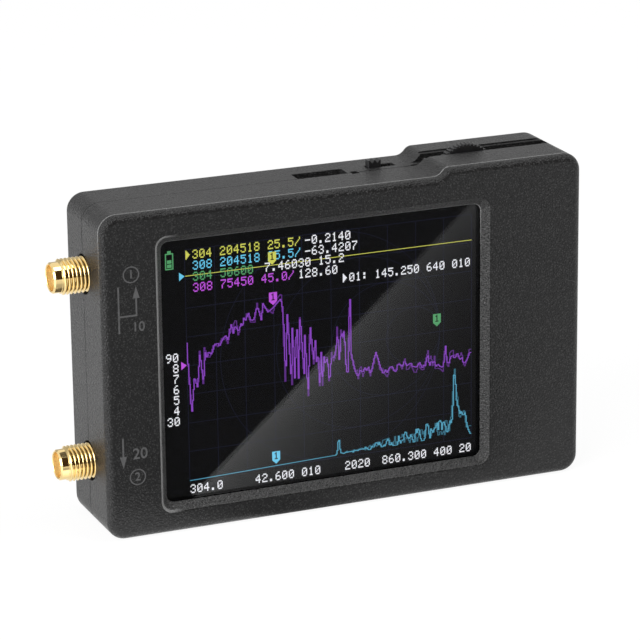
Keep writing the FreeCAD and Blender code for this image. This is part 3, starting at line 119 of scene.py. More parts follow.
CASE_LOW, CASE_HIGH = node_box("front_shell", "rear_shell")
LEFT, FRONT = CASE_LOW.x, CASE_LOW.y
RIGHT, BACK, TOP = CASE_HIGH
SEAM = node_box("front_shell")[1].y
PANEL_LOW, PANEL_HIGH = node_box("touch_panel")
CELL_LOW = node_box("display_glass")[0]
BOARD_LOW, BOARD_HIGH = node_box("main_board")
USB_LOW, USB_HIGH = node_box("usb_shell")
TONGUE_LOW, TONGUE_HIGH = node_box("usb_tongue")
KNOB_LOW, KNOB_HIGH = node_box("switch_knob")
WHEEL_LOW, WHEEL_HIGH = node_box("jog_wheel")
PORT_LOW, PORT_HIGH = node_box("port_1_body")
MOUNTS = frame["record"]["mounts"]
PORT_HEIGHTS = {number: (Vector(named(MOUNTS, f"port_{number}")["pos_m"]) / MM).z
                for number in (1, 2)}
JOG_AXIS = Vector(named(frame["joints"], "jog_rock")["pos_m"]) / MM


# ---- what a user sets
def length(name, millimetres, description):
    """A length property, given in millimetres and held in metres."""
    return bpy.props.FloatProperty(name=name, description=description,
                                   default=millimetres * MM, min=0.0,
                                   unit="LENGTH", precision=5)


def tint(name, colour, description):
    """A linear colour property."""
    return bpy.props.FloatVectorProperty(name=name, description=description, default=colour,
                                         size=3, min=0.0, max=1.0, subtype="COLOR")


class CaseSizes(bpy.types.PropertyGroup):
    """Sizes of the two case shells."""

    step_rise: length("Step rise", 1.53, "How far the jog end stands above the rest of the top")
    step_from_right: length("Step from the jog side", 26.7, "Middle of the step's slope")
    step_run: length("Step run", 1.5, "Level length of the step's slope")
    foot_radius: length("Foot radius", 1.9, "Hollow radius at the foot of the slope")
    crest_radius: length("Crest radius", 1.6, "Round at the head of the slope")
    side_wall: length("Side wall", 2.0, "Thickness of the side walls")
    face_wall: length("Face wall", 1.5, "Thickness of the front face")
    back_wall: length("Back wall", 1.8, "Thickness of the back face")
    corner_radius: length("Corner radius", 3.2, "Outline corner radius")
    inside_radius: length("Inside radius", 1.2, "Outline corner radius of the hollow")
    edge_radius: length("Edge radius", 1.5, "Round along the front and back edges")
    seam_round: length("Seam round", 0.14, "Small round along the parting line")
    mouth_round: length("Mouth round", 0.12, "Small round at the mouth of every slot and hole")
    lip_thick: length("Lip thickness", 0.95, "Thickness of the locating lip")
    lip_high: length("Lip height", 0.9, "Reach of the locating lip past the parting line")
    lip_gap: length("Lip gap", 0.1, "Clearance round the locating lip")
    window_left: length("Window left", 11.2, "Port side to the inner window edge")
    window_right: length("Window right", 19.25, "Jog side to the inner window edge")
    window_low: length("Window low", 5.3, "Bottom to the inner window edge")
    window_high: length("Window high", 5.9, "Port-side top to the inner window edge")
    window_radius: length("Window radius", 1.4, "Corner radius of the inner window edge")
    bezel_width: length("Bezel width", 1.36, "Width of the sloping bezel")
    boss_inset: length("Screw inset", 5.6, "Screw axes in from the outside of the case")
    front_boss_r: length("Front post radius", 2.1, "Screw posts of the front shell")
    rear_boss_r: length("Rear post radius", 2.6, "Screw posts of the rear shell")
    pilot_r: length("Pilot radius", 0.8, "Pilot hole in the front posts")
    screw_hole_r: length("Screw hole radius", 1.15, "Clearance hole for the shank")
    screw_well_r: length("Well radius", 1.85, "Well for a screw head in the back")
    screw_well_deep: length("Well depth", 4.7, "Depth of the screw wells")
    port_hole_r: length("Port hole radius", 3.475, "Hole for a port in the wall")
    post_gap: length("Post gap", 0.05, "Clearance between a post's end and the board")
    mark_deep: length("Marking depth", 0.16, "Depth of the markings sunk in the face")


class ScrewSizes(bpy.types.PropertyGroup):
    """Sizes of the four case screws."""

    shank_r: length("Shank radius", 1.0, "Thread crest radius")
    thread_deep: length("Thread depth", 0.2, "Depth of the screw thread")
    thread_pitch: length("Thread pitch", 0.8, "Screw thread pitch")
    shank_long: length("Shank length", 9.0, "Shank below the head")
    head_r: length("Head radius", 1.7, "Head radius")
    head_high: length("Head height", 1.3, "Head height")
    recess_deep: length("Recess depth", 0.65, "Depth of the cross recess")


class SlotSizes(bpy.types.PropertyGroup):
    """Sizes of the openings along the top."""

    usb_wide: length("USB slot width", 9.4, "Slot for the USB socket")
    usb_gap: length("USB slot gap", 0.06, "Slot clearance before and behind the socket")
    notch_from_right: length("Notch place", 39.6, "Small parting notch from the jog side")
    notch_wide: length("Notch width", 1.3, "Small parting notch width")
    notch_half_deep: length("Notch half depth", 0.75, "Notch each side of the parting line")
    notch_high: length("Notch height", 0.8, "Notch down from the top")
    switch_from_right: length("Switch slot place", 36.4, "Slot's port-side end")
    switch_long: length("Switch slot length", 5.3, "Slot length")
    switch_deep: length("Switch slot width", 1.9, "Slot width, front to back")
    switch_back: length("Switch slot offset", 1.55, "Slot behind the parting line")
    thumb_from_right: length("Thumb slot place", 1.9, "Thumb slot's end from the jog side")
    thumb_long: length("Thumb slot length", 24.3, "Thumb slot length")
    thumb_front: length("Thumb slot front", 0.85, "Slot ahead of the parting line")
    thumb_back: length("Thumb slot back", 2.25, "Slot behind the parting line")
    seam_gap: length("Seam gap", 0.22, "Open parting line between the notch and the step")
    trough_long: length("Trough length", 2.6, "Slot's open end across the step's slope")
    trough_wide: length("Trough width", 1.85, "Open end, back from the parting line")
    ledge_wide: length("Ledge width", 0.9, "Sunk ledge behind the thumb slot")
    ledge_deep: length("Ledge depth", 0.25, "Depth of the sunk ledge")


class PortSizes(bpy.types.PropertyGroup):
    """Sizes of the two threaded ports."""

    thread_r: length("Thread radius", 3.175, "Thread crest radius")
    thread_pitch: length("Thread pitch", 0.7056, "36 turns per inch")
    thread_deep: length("Thread depth", 0.4, "Depth of the thread")
    crest: length("Crest width", 0.1, "Width of the thread crest")
    crest_round: length("Crest rounding", 0.03, "How far the crest's rounding comes down")
    ridge_sink: length("Ridge sink", 0.08, "How far the ridge's foot is sunk in the core")
    tip_r: length("Tip radius", 2.72, "Plain tip radius")
    tip_long: length("Tip length", 1.45, "Plain tip length")
    chamfer: length("Tip chamfer", 0.25, "Chamfer round the tip")
    neck_r: length("Neck radius", 2.95, "Plain neck through the wall")
    mouth_r: length("Mouth radius", 2.3, "Mouth bore radius")
    mouth_deep: length("Mouth depth", 1.9, "Mouth bore depth")
    insulator_r: length("Insulator radius", 2.04, "Outside of the insulator")
    contact_r: length("Contact radius", 0.635, "Centre contact radius")
    contact_hole_r: length("Contact hole radius", 0.46, "Centre contact socket radius")
    contact_hole_deep: length("Contact hole depth", 2.6, "Centre contact socket depth")
    contact_slit: length("Contact slit", 0.16, "Slits that part the contact's fingers")
    flange_thick: length("Flange thickness", 1.8, "Flange inside the wall")
    flange_half: length("Flange half width", 3.225, "Half the square flange")
    leg_wide: length("Leg width", 1.0, "Board legs, width and thickness")
    leg_inset: length("Leg inset", 0.3, "Legs in from the flange's corners")
    tail_long: length("Tail length", 2.6, "Contact tail along the board")
    tail_r: length("Tail radius", 0.38, "Contact tail radius")


class ControlSizes(bpy.types.PropertyGroup):
    """Sizes of the USB socket, slide switch and jog wheel."""

    usb_wall: length("Socket wall", 0.3, "Socket sheet thickness")
    usb_base_long: length("Socket base", 1.6, "Closed length at the back of the socket")
    usb_foot: length("Socket foot", 1.1, "Solder feet width")
    tongue_thick: length("Tongue thickness", 0.7, "Tongue thickness")
    tongue_side: length("Tongue side", 1.1, "Tongue in from each side")
    contact_pitch: length("Contact pitch", 0.5, "Contact pads on the tongue")
    knob_gap: length("Knob gap", 0.15, "Knob clearance in its slot")
    knob_groove: length("Knob groove", 0.6, "Depth of the two grip grooves")
    knob_stem_wide: length("Stem width", 1.2, "Stem along the travel")
    knob_stem_thick: length("Stem thickness", 0.9, "Stem front to back")
    runner_high: length("Runner height", 1.0, "Runner inside the switch body")
    wheel_r: length("Wheel radius", 6.0, "Wheel rim radius")
    wheel_rim: length("Rim width", 1.6, "Rim band width")
    wheel_web: length("Web thickness", 1.0, "Web between rim and hub")
    wheel_hub_r: length("Hub radius", 2.0, "Hub radius")
    wheel_bore_r: length("Bore radius", 0.95, "Bore on the pivot pin")
    wheel_tail_wide: length("Tail width", 1.1, "Lever tail width")
    wheel_tail_long: length("Tail length", 3.9, "Lever tail below the axis")
    wire_gap: length("Wire gap", 0.05, "Centring wires to the wheel's tail")
    tooth_deep: length("Groove depth", 0.28, "Rim groove depth")
    spring_wire_r: length("Spring wire radius", 0.1, "Push spring wire radius")
    spring_r: length("Spring radius", 0.38, "Push spring coil radius")


class ScreenSizes(bpy.types.PropertyGroup):
    """Sizes of what the display shows."""

    pixel: length("Pixel", 0.18, "Display pixel pitch")
    plot_left: length("Plot left", 15.85, "Port side to the plot's left line")
    plot_low: length("Plot low", 8.46, "Bottom to the plot's lowest line")
    plot_wide: length("Plot width", 54.0, "Ten divisions across")
    plot_high: length("Plot height", 41.76, "Eight divisions up")
    grid_line: length("Grid line", 0.12, "Width of the grid lines")
    trace_line: length("Trace line", 0.115, "Width of the traces")
    char_step: length("Character step", 1.26, "One character to the next")
    char_high: length("Character height", 1.6, "Height of a character")
    row_step: length("Row step", 1.98, "One readout row to the next")
    row_left: length("Row left", 17.27, "Port side to the readout rows")
    row_low: length("Row low", 48.45, "Foot of the highest readout row")


class Colours(bpy.types.PropertyGroup):
    """Colours of the outer finishes."""

    case: tint("Case", (0.0115, 0.0115, 0.0118), "Charcoal moulded plastic")
    speck: tint("Specks", (0.038, 0.038, 0.038), "Pale specks in the moulded plastic")
    # pale bezel grain: partly grain, partly painted sheen of the light that grazes the slopes
    bezel_grain_and_sheen: tint("Bezel grain", (0.06, 0.06, 0.06), "Pale grain on the window's slopes")
    # painted highlight: a pale line where the upper front edge and the window's rim catch the
    # light
    painted_highlight: tint("Rubbed edge", (0.3, 0.3, 0.3), "Rubbed upper front edge")
    marking: tint("Markings", (0.095, 0.095, 0.097), "Filled markings on the face")
    control: tint("Controls", (0.011, 0.011, 0.012), "Switch knob and jog wheel")
    gold: tint("Gold", (0.90, 0.68, 0.31), "Polished gold plate")
    steel: tint("Plated steel", (0.62, 0.61, 0.58), "Tin plated sheet")
    yellow: tint("Yellow", (0.70, 0.70, 0.12), "First trace and its readout")
    cyan: tint("Cyan", (0.16, 0.64, 0.92), "Second trace and its readout")
    green: tint("Green", (0.11, 0.42, 0.17), "Third readout, battery sign and marker")
    magenta: tint("Magenta", (0.56, 0.10, 0.78), "Fourth readout and its marker")
    violet: tint("Violet", (0.27, 0.065, 0.56), "Fourth trace")
    white: tint("White", (0.95, 0.95, 1.0), "Values and scales")
    grid: tint("Grid", (0.008, 0.009, 0.024), "Plot grid and chart circles")


GROUPS = {
    "analyzer_case": CaseSizes,
    "analyzer_screws": ScrewSizes,
    "analyzer_slots": SlotSizes,
    "analyzer_ports": PortSizes,
    "analyzer_controls": ControlSizes,
    "analyzer_screen": ScreenSizes,
    "analyzer_colours": Colours,
}


def sizes(group):
    """The lengths of one property group, in millimetres, by name."""
    values = getattr(bpy.context.scene, group)
    return SimpleNamespace(**{name: getattr(values, name) / MM
                              for name in values.__annotations__})


def colour(name):
    """One of the user's colours."""
    return tuple(getattr(bpy.context.scene.analyzer_colours, name))


# ---- modelling helpers
def spot(plane, across, up, level):
    """A point from its place in a plane and the plane's level."""
    return Vector({"XZ": (across, level, up), "XY": (across, up, level),
                   "YZ": (level, across, up)}[plane])


def box_corners(x0, x1, y0, y1):
    """The four corners of a rectangle in a plane."""
    return [(x0, y0), (x1, y0), (x1, y1), (x0, y1)]


def add_outline(bm, plane, level, corners, radii=0.0, segments=ARC):
    """A flat face through corners in a plane, each corner rounded to its radius."""
    if not isinstance(radii, (list, tuple)):
        radii = [radii] * len(corners)
    verts = [bm.verts.new(spot(plane, across, up, level)) for across, up in corners]
    bm.faces.new(verts)
    face = verts[0].link_faces[0]
    ends = [[(verts[index - 1].co - vert.co).normalized(),
             (verts[(index + 1) % len(verts)].co - vert.co).normalized()]
            for index, vert in enumerate(verts)]
    for vert, radius, (before, after) in zip(verts, radii, ends):
        if radius <= TINY:
            continue
        reach = radius * math.tan((math.pi - before.angle(after)) / 2)
        made = bmesh.ops.bevel(bm, geom=[vert], offset=reach, offset_type="OFFSET",
                               segments=segments, profile=0.5, affect="VERTICES", material=-1)
        face = made["verts"][0].link_faces[0]
    return face


def add_prism(bm, plane, start, end, corners, radii=0.0, segments=ARC):
    """A solid between two levels of a plane, with rounded corners."""
    face = add_outline(bm, plane, start, corners, radii, segments)
    grown = bmesh.ops.extrude_face_region(bm, geom=[face])
    moved = [item for item in grown["geom"] if isinstance(item, bmesh.types.BMVert)]
    bmesh.ops.translate(bm, verts=moved, vec=spot(plane, 0, 0, end - start))
    return moved


def prism_shape(*settings):
    """A prism as its own bmesh."""
    bm = bmesh.new()
    add_prism(bm, *settings)
    return bm


def block_shape(x0, x1, y0, y1, z0, z1, radius=0.0):
    """An upright block as its own bmesh, corners rounded seen from above."""
    return prism_shape("XY", z0, z1, box_corners(x0, x1, y0, y1), radius, 4)


def loft_shape(plane, sections, segments=ARC):
    """A solid through rounded rectangles (level, x0, x1, y0, y1, radius), low to high."""
    bm = bmesh.new()
    loops = []
    for index, (level, x0, x1, y0, y1, radius) in enumerate(sections):
        face = add_outline(bm, plane, level, box_corners(x0, x1, y0, y1), radius, segments)
        loops.append(list(face.edges))
        if 0 < index < len(sections) - 1:
            bmesh.ops.delete(bm, geom=[face], context="FACES_ONLY")
    for lower, upper in zip(loops, loops[1:]):
        bmesh.ops.bridge_loops(bm, edges=lower + upper)
    return bm


def turned_shape(axis, centre, profile, steps=ROUND, closed=False):
    """A solid of revolution from (along, radius) points about the X or Y axis.

    An open profile starts and ends on the axis, and a closed one makes a ring.
    """
    bm = bmesh.new()
    along = Vector((0, 0, 0))
    along["XY".index(axis)] = 1
    verts = [bm.verts.new(Vector(centre) + along * a + Vector((0, 0, r))) for a, r in profile]
    pairs = list(zip(verts, verts[1:]))
    if closed:
        pairs.append((verts[-1], verts[0]))
    edges = [bm.edges.new(pair) for pair in pairs]
    bmesh.ops.spin(bm, geom=verts + edges, cent=Vector(centre), axis=along,
                   dvec=(0, 0, 0), angle=math.tau, steps=steps, use_merge=True,
                   use_duplicate=False)
    bmesh.ops.remove_doubles(bm, verts=bm.verts[:], dist=TINY)
    return bm


def rod(start, end, radius):
    """The open profile of a plain round rod."""
    return [(start, 0.0), (start, radius), (end, radius), (end, 0.0)]


def joined(shapes):
    """Several bmeshes as one."""
    whole = bmesh.new()
    for shape in shapes:
        mesh = bpy.data.meshes.new("part")
        shape.to_mesh(mesh)
        shape.free()
        whole.from_mesh(mesh)
        bpy.data.meshes.remove(mesh)
    return whole


def rim_edges(bm, plane, level):
    """Edges that lie in a plane at a level."""
    axis = AXES[plane]
    return [edge for edge in bm.edges
            if all(abs(vert.co[axis] - level) < TINY for vert in edge.verts)]


def round_edges(bm, edges, size, segments):
    """Round some edges."""
    bmesh.ops.bevel(bm, geom=edges, offset=size, offset_type="OFFSET", segments=segments,
                    profile=0.5, affect="EDGES", material=-1, clamp_overlap=True)


def scratch(bm):
    """A temporary object in millimetres from a bmesh."""
    bmesh.ops.recalc_face_normals(bm, faces=bm.faces[:])
    mesh = bpy.data.meshes.new("scratch")
    bm.to_mesh(mesh)
    bm.free()
    return bpy.data.objects.new("scratch", mesh)


def carve(blank, *steps):
    """Join shapes to, cut them from, or trim them to a blank; all are bmeshes."""
    thing = scratch(blank)
    bpy.context.scene.collection.objects.link(thing)
    groups = []
    for operation, tools in steps:
        group = bpy.data.collections.new("tools")
        for tool in tools:
            group.objects.link(scratch(tool))
        groups.append(group)
        step = thing.modifiers.new(operation, "BOOLEAN")
        step.operation = operation
        step.solver = "EXACT"
        step.operand_type = "COLLECTION"
        step.collection = group
    result = evaluated(thing)
    for group in groups:
        for tool in list(group.objects):
            bpy.data.meshes.remove(tool.data)
        bpy.data.collections.remove(group)
    bpy.data.meshes.remove(thing.data)
    bmesh.ops.remove_doubles(result, verts=result.verts[:], dist=TINY)
    bmesh.ops.dissolve_degenerate(result, edges=result.edges[:], dist=TINY)
    return result


def evaluated(thing):
    """The bmesh of an object with its modifiers or characters worked out."""
    view = bpy.context.evaluated_depsgraph_get()
    mesh = bpy.data.meshes.new_from_object(thing.evaluated_get(view))
    bm = bmesh.new()
    bm.from_mesh(mesh)
    bpy.data.meshes.remove(mesh)
    return bm


def piece(bm, name, material, replaces=(), body="case", sharp=32.0, weighted=True):
    """Turn a bmesh in millimetres into a finished piece that rides on a CAD body.

    A piece given no body is left unattached.
    """
    if not bm.faces:
        raise RuntimeError(f"{name} came out without faces")
    bmesh.ops.recalc_face_normals(bm, faces=bm.faces[:])
    thing = linked(bm, name, material)
    thing.data.shade_smooth()
    thing.data.set_sharp_from_angle(angle=math.radians(sharp))
    if weighted:
        normals = thing.modifiers.new("even shading", "WEIGHTED_NORMAL")
        normals.keep_sharp = True
    if body:
        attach(thing, body)
    if replaces:
        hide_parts(*replaces)
    return thing


def linked(bm, name, material):
    """An object in the scene, in metres, from a bmesh in millimetres."""
    bmesh.ops.scale(bm, vec=(MM, MM, MM), verts=bm.verts[:])
    mesh = bpy.data.meshes.new(name)
    bm.to_mesh(mesh)
    bm.free()
    mesh.materials.append(material)
    thing = bpy.data.objects.new(name, mesh)
    bpy.context.scene.collection.objects.link(thing)
    return thing


# ---- finishes
def new_material(name):
    """A node material with nothing in it yet."""
    material = bpy.data.materials.new(name)
    material.use_nodes = True
    material.node_tree.nodes.clear()
    return material, material.node_tree


def add_node(tree, kind, sockets=None, **settings):
    """A node with its settings and its sockets, each a number, colour or linked socket."""
    node = tree.nodes.new(kind)
    for name, value in settings.items():
        setattr(node, name, value)
    for name, value in (sockets or {}).items():
        if isinstance(value, bpy.types.NodeSocket):
            tree.links.new(value, node.inputs[name])
        else:
            node.inputs[name].default_value = value
    return node


def calculate(tree, operation, *values):
    """The result of a math node on up to three numbers or sockets."""
    return add_node(tree, "ShaderNodeMath", dict(enumerate(values)),
                    operation=operation).outputs[0]


def object_place(tree):
    """Object coordinates, in metres."""
    return add_node(tree, "ShaderNodeTexCoord").outputs["Object"]


def parts_of(tree, place):
    """The X, Y and Z of a place."""
    return add_node(tree, "ShaderNodeSeparateXYZ", {"Vector": place}).outputs


def reach_of(tree, across, up):
    """The length of an offset from its two parts."""
    offset = add_node(tree, "ShaderNodeCombineXYZ", {"X": across, "Y": up}).outputs[0]
    return add_node(tree, "ShaderNodeVectorMath", {0: offset},
                    operation="LENGTH").outputs["Value"]


def bumps(tree, height, distance, strength=1.0):
    """Normals that follow a height, distance metres high at full strength."""
    return add_node(tree, "ShaderNodeBump", {
        "Height": height, "Strength": strength, "Distance": distance}).outputs["Normal"]


def coat(tree, sockets):
    """End a material's nodes with a physical surface."""
    surface = add_node(tree, "ShaderNodeBsdfPrincipled", sockets)
    add_node(tree, "ShaderNodeOutputMaterial", {"Surface": surface.outputs["BSDF"]})


def glow_evenly(tree, rgb, strength):
    """End a material's nodes with light of one colour."""
    lit = add_node(tree, "ShaderNodeEmission", {"Color": (*rgb, 1.0), "Strength": strength})
    add_node(tree, "ShaderNodeOutputMaterial", {"Surface": lit.outputs[0]})


def shade(rgb, factor):
    """A colour made lighter or darker, with full alpha."""
    return tuple(min(channel * factor, 1.0) for channel in rgb) + (1.0,)


def object_noise(tree, place, grain, detail=2.0):
    """Noise with grains of a size in millimetres."""
    return add_node(tree, "ShaderNodeTexNoise", {
        "Vector": place, "Scale": 1.0 / (grain * MM), "Detail": detail,
        "Roughness": 0.55}).outputs["Fac"]


def spread(tree, value, low, high, from_low=0.3, from_high=0.7):
    """Map a range of a value, by default the useful middle of a noise, onto another."""
    return add_node(tree, "ShaderNodeMapRange", {
        "Value": value, "From Min": from_low, "From Max": from_high,
        "To Min": low, "To Max": high}).outputs["Result"]


def mix_colour(tree, factor, first, second):
    """Mix two colours by a factor."""
    node = add_node(tree, "ShaderNodeMix", data_type="RGBA")
    tree.links.new(factor, node.inputs[0])
    for socket, value in ((node.inputs[6], first), (node.inputs[7], second)):
        if isinstance(value, bpy.types.NodeSocket):
            tree.links.new(value, socket)
        else:
            socket.default_value = value
    return node.outputs[2]


@functools.cache
def finish(name, rgb, roughness, metallic=0.0, grain=0.3, depth=0.01, mottle=6.0,
           spread_of=0.12, rough_spread=0.08, **shader):
    """A surface with mottled colour, uneven roughness and a fine moulded or worked grain.

    grain and mottle are the sizes of the bump and of the colour patches, and depth the
    height of the bump, all in millimetres.
    """
    material, tree = new_material(name)
    place = object_place(tree)
    patches = object_noise(tree, place, mottle, 4.0)
    base = mix_colour(tree, spread(tree, patches, 0.0, 1.0),
                      shade(rgb, 1.0 - spread_of), shade(rgb, 1.0 + spread_of))
    rough = spread(tree, patches, roughness - rough_spread, roughness + rough_spread)
    coat(tree, {"Base Color": base, "Roughness": rough, "Metallic": metallic,
                "Normal": bumps(tree, object_noise(tree, place, grain, 3.0), depth * MM),
                **shader})
    return material


def rim_distance(tree, across, up, rectangle):
    """Distance outwards from a rounded rectangle given in millimetres, in metres."""
    x0, x1, z0, z1, radius = rectangle
    beyond = []
    for value, low, high in ((across, x0, x1), (up, z0, z1)):
        centred = calculate(tree, "SUBTRACT", value, (low + high) / 2 * MM)
        beyond.append(calculate(tree, "SUBTRACT", calculate(tree, "ABSOLUTE", centred),
                                ((high - low) / 2 - radius) * MM))
    outer = reach_of(tree, *[calculate(tree, "MAXIMUM", side, 0.0) for side in beyond])
    inner = calculate(tree, "MINIMUM", calculate(tree, "MAXIMUM", *beyond), 0.0)
    return calculate(tree, "SUBTRACT", calculate(tree, "ADD", outer, inner), radius * MM)


@functools.cache
def case_plastic():
    """Charcoal plastic: spark-eroded grain, pale specks, painted edge highlights, a bezel paler
    with grain and painted sheen.
    """
    case = sizes("analyzer_case")
    rgb = colour("case")
    edge = case.edge_radius
    material, tree = new_material("case plastic")
    place = object_place(tree)
    axes = parts_of(tree, place)
    patches = spread(tree, object_noise(tree, place, 9.0, 3.0), 0.0, 1.0)
    fine = object_noise(tree, place, 0.24, 1.0)
    coarse = object_noise(tree, place, 0.8, 1.0)
    cells = add_node(tree, "ShaderNodeTexVoronoi", {
        "Vector": place, "Scale": 1.0 / (0.36 * MM), "Randomness": 1.0}).outputs
    dots = spread(tree, cells["Distance"], 1.0, 0.0, 0.2, 0.48)
    specks = calculate(tree, "MULTIPLY", dots,
                       calculate(tree, "GREATER_THAN", cells["Color"], 0.5))
    worn = mix_colour(tree, patches, shade(rgb, 0.94), shade(rgb, 1.06))
    speckled = mix_colour(tree, specks, worn, shade(colour("speck"), 1.0))

    # painted highlight: the upper front edge and the port side of the window's rim are painted
    # pale where they catch the light
    near_edge = calculate(tree, "COMPARE", axes["Y"], (FRONT + edge * 0.95) * MM,
                          edge * 0.07 * MM)
    upper = spread(tree, axes["Z"], 0.0, 0.9, (TOP - 16.0) * MM, (TOP - 4.0) * MM)
    rim = window_rectangle(case, case.bezel_width + 0.05)
    from_rim = rim_distance(tree, axes["X"], axes["Z"], rim)
    rim_line = calculate(tree, "COMPARE", from_rim, -0.12 * MM, 0.22 * MM)
    port_side = spread(tree, axes["X"], 0.7, 0.0, (rim[0] + 1.0) * MM, (rim[0] + 4.0) * MM)
    painted_highlight = calculate(tree, "MAXIMUM", calculate(tree, "MULTIPLY", near_edge, upper),
                       calculate(tree, "MULTIPLY", rim_line, port_side))

    # the slopes of the bezel have a paler grain, partly the grain itself and partly painted sheen
    # of the light that grazes them
    on_bezel = calculate(tree, "LESS_THAN", from_rim, -0.08 * MM)
    grained = calculate(tree, "MULTIPLY", on_bezel, spread(tree, fine, 0.15, 1.0, 0.35, 0.65))
    bezel = mix_colour(tree, grained, speckled, shade(colour("bezel_grain_and_sheen"), 1.0))
    # the painted highlight laid over the plastic's colour
    base = mix_colour(tree, painted_highlight, bezel, shade(colour("painted_highlight"), 1.0))

    # the grain is shallower on the flat face than round its edges and on the sides
    height = calculate(tree, "SUBTRACT", fine, cells["Distance"])
    hills = calculate(tree, "MULTIPLY_ADD", coarse, 0.15, height)
    depth = spread(tree, axes["Y"], 0.05 * MM, 0.16 * MM,
                   (FRONT + 0.02) * MM, (FRONT + 0.3) * MM)
    coat(tree, {"Base Color": base, "Roughness": spread(tree, fine, 0.26, 0.38),
                "Specular IOR Level": 0.3, "Normal": bumps(tree, hills, depth)})
    return material


@functools.cache
def gold_plate():
    """Gold plate, polished outside and satin inside the mouth bores."""
    rgb = colour("gold")
    middle = (PORT_HEIGHTS[1] + PORT_HEIGHTS[2]) / 2
    apart = abs(PORT_HEIGHTS[1] - PORT_HEIGHTS[2]) / 2
    material, tree = new_material("gold plate")
    place = object_place(tree)
    axes = parts_of(tree, place)
    beside = calculate(tree, "SUBTRACT", axes["Y"], SEAM * MM)
    above = calculate(tree, "SUBTRACT", axes["Z"], middle * MM)
    up = calculate(tree, "SUBTRACT", calculate(tree, "ABSOLUTE", above), apart * MM)
    patches = object_noise(tree, place, 1.6, 4.0)
    mouth = (sizes("analyzer_ports").mouth_r + 0.06) * MM
    rough = spread(tree, reach_of(tree, beside, up), 0.42, spread(tree, patches, 0.08, 0.13),
                   mouth - 0.02 * MM, mouth + 0.02 * MM)
    base = mix_colour(tree, spread(tree, patches, 0.0, 1.0), shade(rgb, 0.95),
                      shade(rgb, 1.05))
    marks = object_noise(tree, place, 0.12, 3.0)
    coat(tree, {"Base Color": base, "Roughness": rough, "Metallic": 1.0,
                "Normal": bumps(tree, marks, 0.0001 * MM)})
    return material


@functools.cache
def panel_glass():
    """Clear touch panel, faintly tinted, with a trace of haze."""
    material, tree = new_material("panel glass")
    smudge = spread(tree, object_noise(tree, object_place(tree), 14.0, 3.0), 0.0, 1.0)
    clear = mix_colour(tree, smudge, (0.95, 0.965, 0.97, 1.0), (0.99, 0.99, 0.99, 1.0))
    coat(tree, {"Base Color": clear, "Roughness": 0.0, "Transmission Weight": 1.0,
                "IOR": 1.45, "Specular IOR Level": 0.0})
    return material


def display_black():
    """The dark glossy face of the liquid crystal cell."""
    return finish("display black", (0.004, 0.0042, 0.006), 0.035, grain=6.0, depth=0.0,
                  mottle=20.0, spread_of=0.2, rough_spread=0.01,
                  **{"Specular IOR Level": 0.5})


def bands_up(tree, pitch):
    """Level bands, one to each pitch in metres."""
    return add_node(tree, "ShaderNodeTexWave", {
        "Vector": object_place(tree), "Scale": math.tau / (20 * pitch), "Distortion": 0.0},
        bands_direction="Z").outputs["Fac"]


@functools.cache
def glow(name, strength):
    """Light from lit display pixels of a colour, with the faint darker gaps between them."""
    rgb = colour(name)
    material, tree = new_material(f"glow {name} {strength:.2f}")
    bands = bands_up(tree, sizes("analyzer_screen").pixel * MM)
    coat(tree, {"Base Color": (0.004, 0.004, 0.005, 1.0), "Roughness": 0.035,
                "Emission Color": mix_colour(tree, bands, shade(rgb, 0.86), shade(rgb, 1.0)),
                "Emission Strength": strength})
    return material


# ---- case shells
def high_edge(case):
    """Top of the case at the port side."""
    return TOP - case.step_rise


def case_corners(case, inset):
    """The case seen from the front with its step, drawn in by an inset."""
    shift = inset * math.tan(STEP_SLOPE / 2)
    step_x = RIGHT - case.step_from_right
    high = high_edge(case)
    return [
        (LEFT + inset, inset), (RIGHT - inset, inset), (RIGHT - inset, TOP - inset),
        (step_x + case.step_run / 2 + shift, TOP - inset),
        (step_x - case.step_run / 2 + shift, high - inset), (LEFT + inset, high - inset),
    ]


def case_shape(case, start, end, inset, radius, crest=0.0, foot=0.0):
    """The stepped case outline as a solid between two depths."""
    radii = [radius, radius, radius, crest, foot, radius]
    return prism_shape("XZ", start, end, case_corners(case, inset), radii)


def shell_blank(case, outer):
    """Outside of one shell, from the parting line to its outer face."""
    bm = case_shape(case, SEAM, outer, 0.0, case.corner_radius, case.crest_radius,
                    case.foot_radius)
    round_edges(bm, rim_edges(bm, "XZ", outer), case.edge_radius, 9)
    round_edges(bm, rim_edges(bm, "XZ", SEAM), case.seam_round, 2)
    return bm


def screw_places(case):
    """Axes of the four case screws as (x, z)."""
    inset = case.boss_inset
    return [(x, z) for x in (LEFT + inset, RIGHT - inset)
            for z in (inset, high_edge(case) - inset)]


def at_screws(case, profile, steps):
    """A turned shape at each of the four screws."""
    return [turned_shape("Y", (x, 0, z), profile, steps) for x, z in screw_places(case)]


def mouth_steps(flare):
    """How a hole opens at its mouth: places along it and how far its wall stands back."""
    return [(-flare * 1.4, 0.0), (-flare * 0.4, flare * 0.35), (0.0, flare)]


def port_hole_tools(case):
    """Cutters for both port holes, with a small round at the outer mouth."""
    flare = case.mouth_round * 1.5
    radius = case.port_hole_r
    inside = case.side_wall + 0.1
    profile = [(-PAST, 0.0), (-PAST, radius + flare), (0.0, radius + flare),
               (flare * 0.35, radius + flare * 0.35), (flare, radius), (inside, radius),
               (inside, 0.0)]
    return [turned_shape("X", (LEFT, SEAM, z), profile) for z in PORT_HEIGHTS.values()]


def top_slot(x0, x1, y0, y1, low, top, radius, flare):
    """A slot cut down from the top, its mouth slightly opened."""
    grown = [(low - top, 0.0), *mouth_steps(flare), (3 * PAST, flare)]
    return loft_shape("XY", [(top + drop, x0 - grow, x1 + grow, y0 - grow, y1 + grow,
                              radius + grow) for drop, grow in grown], 4)


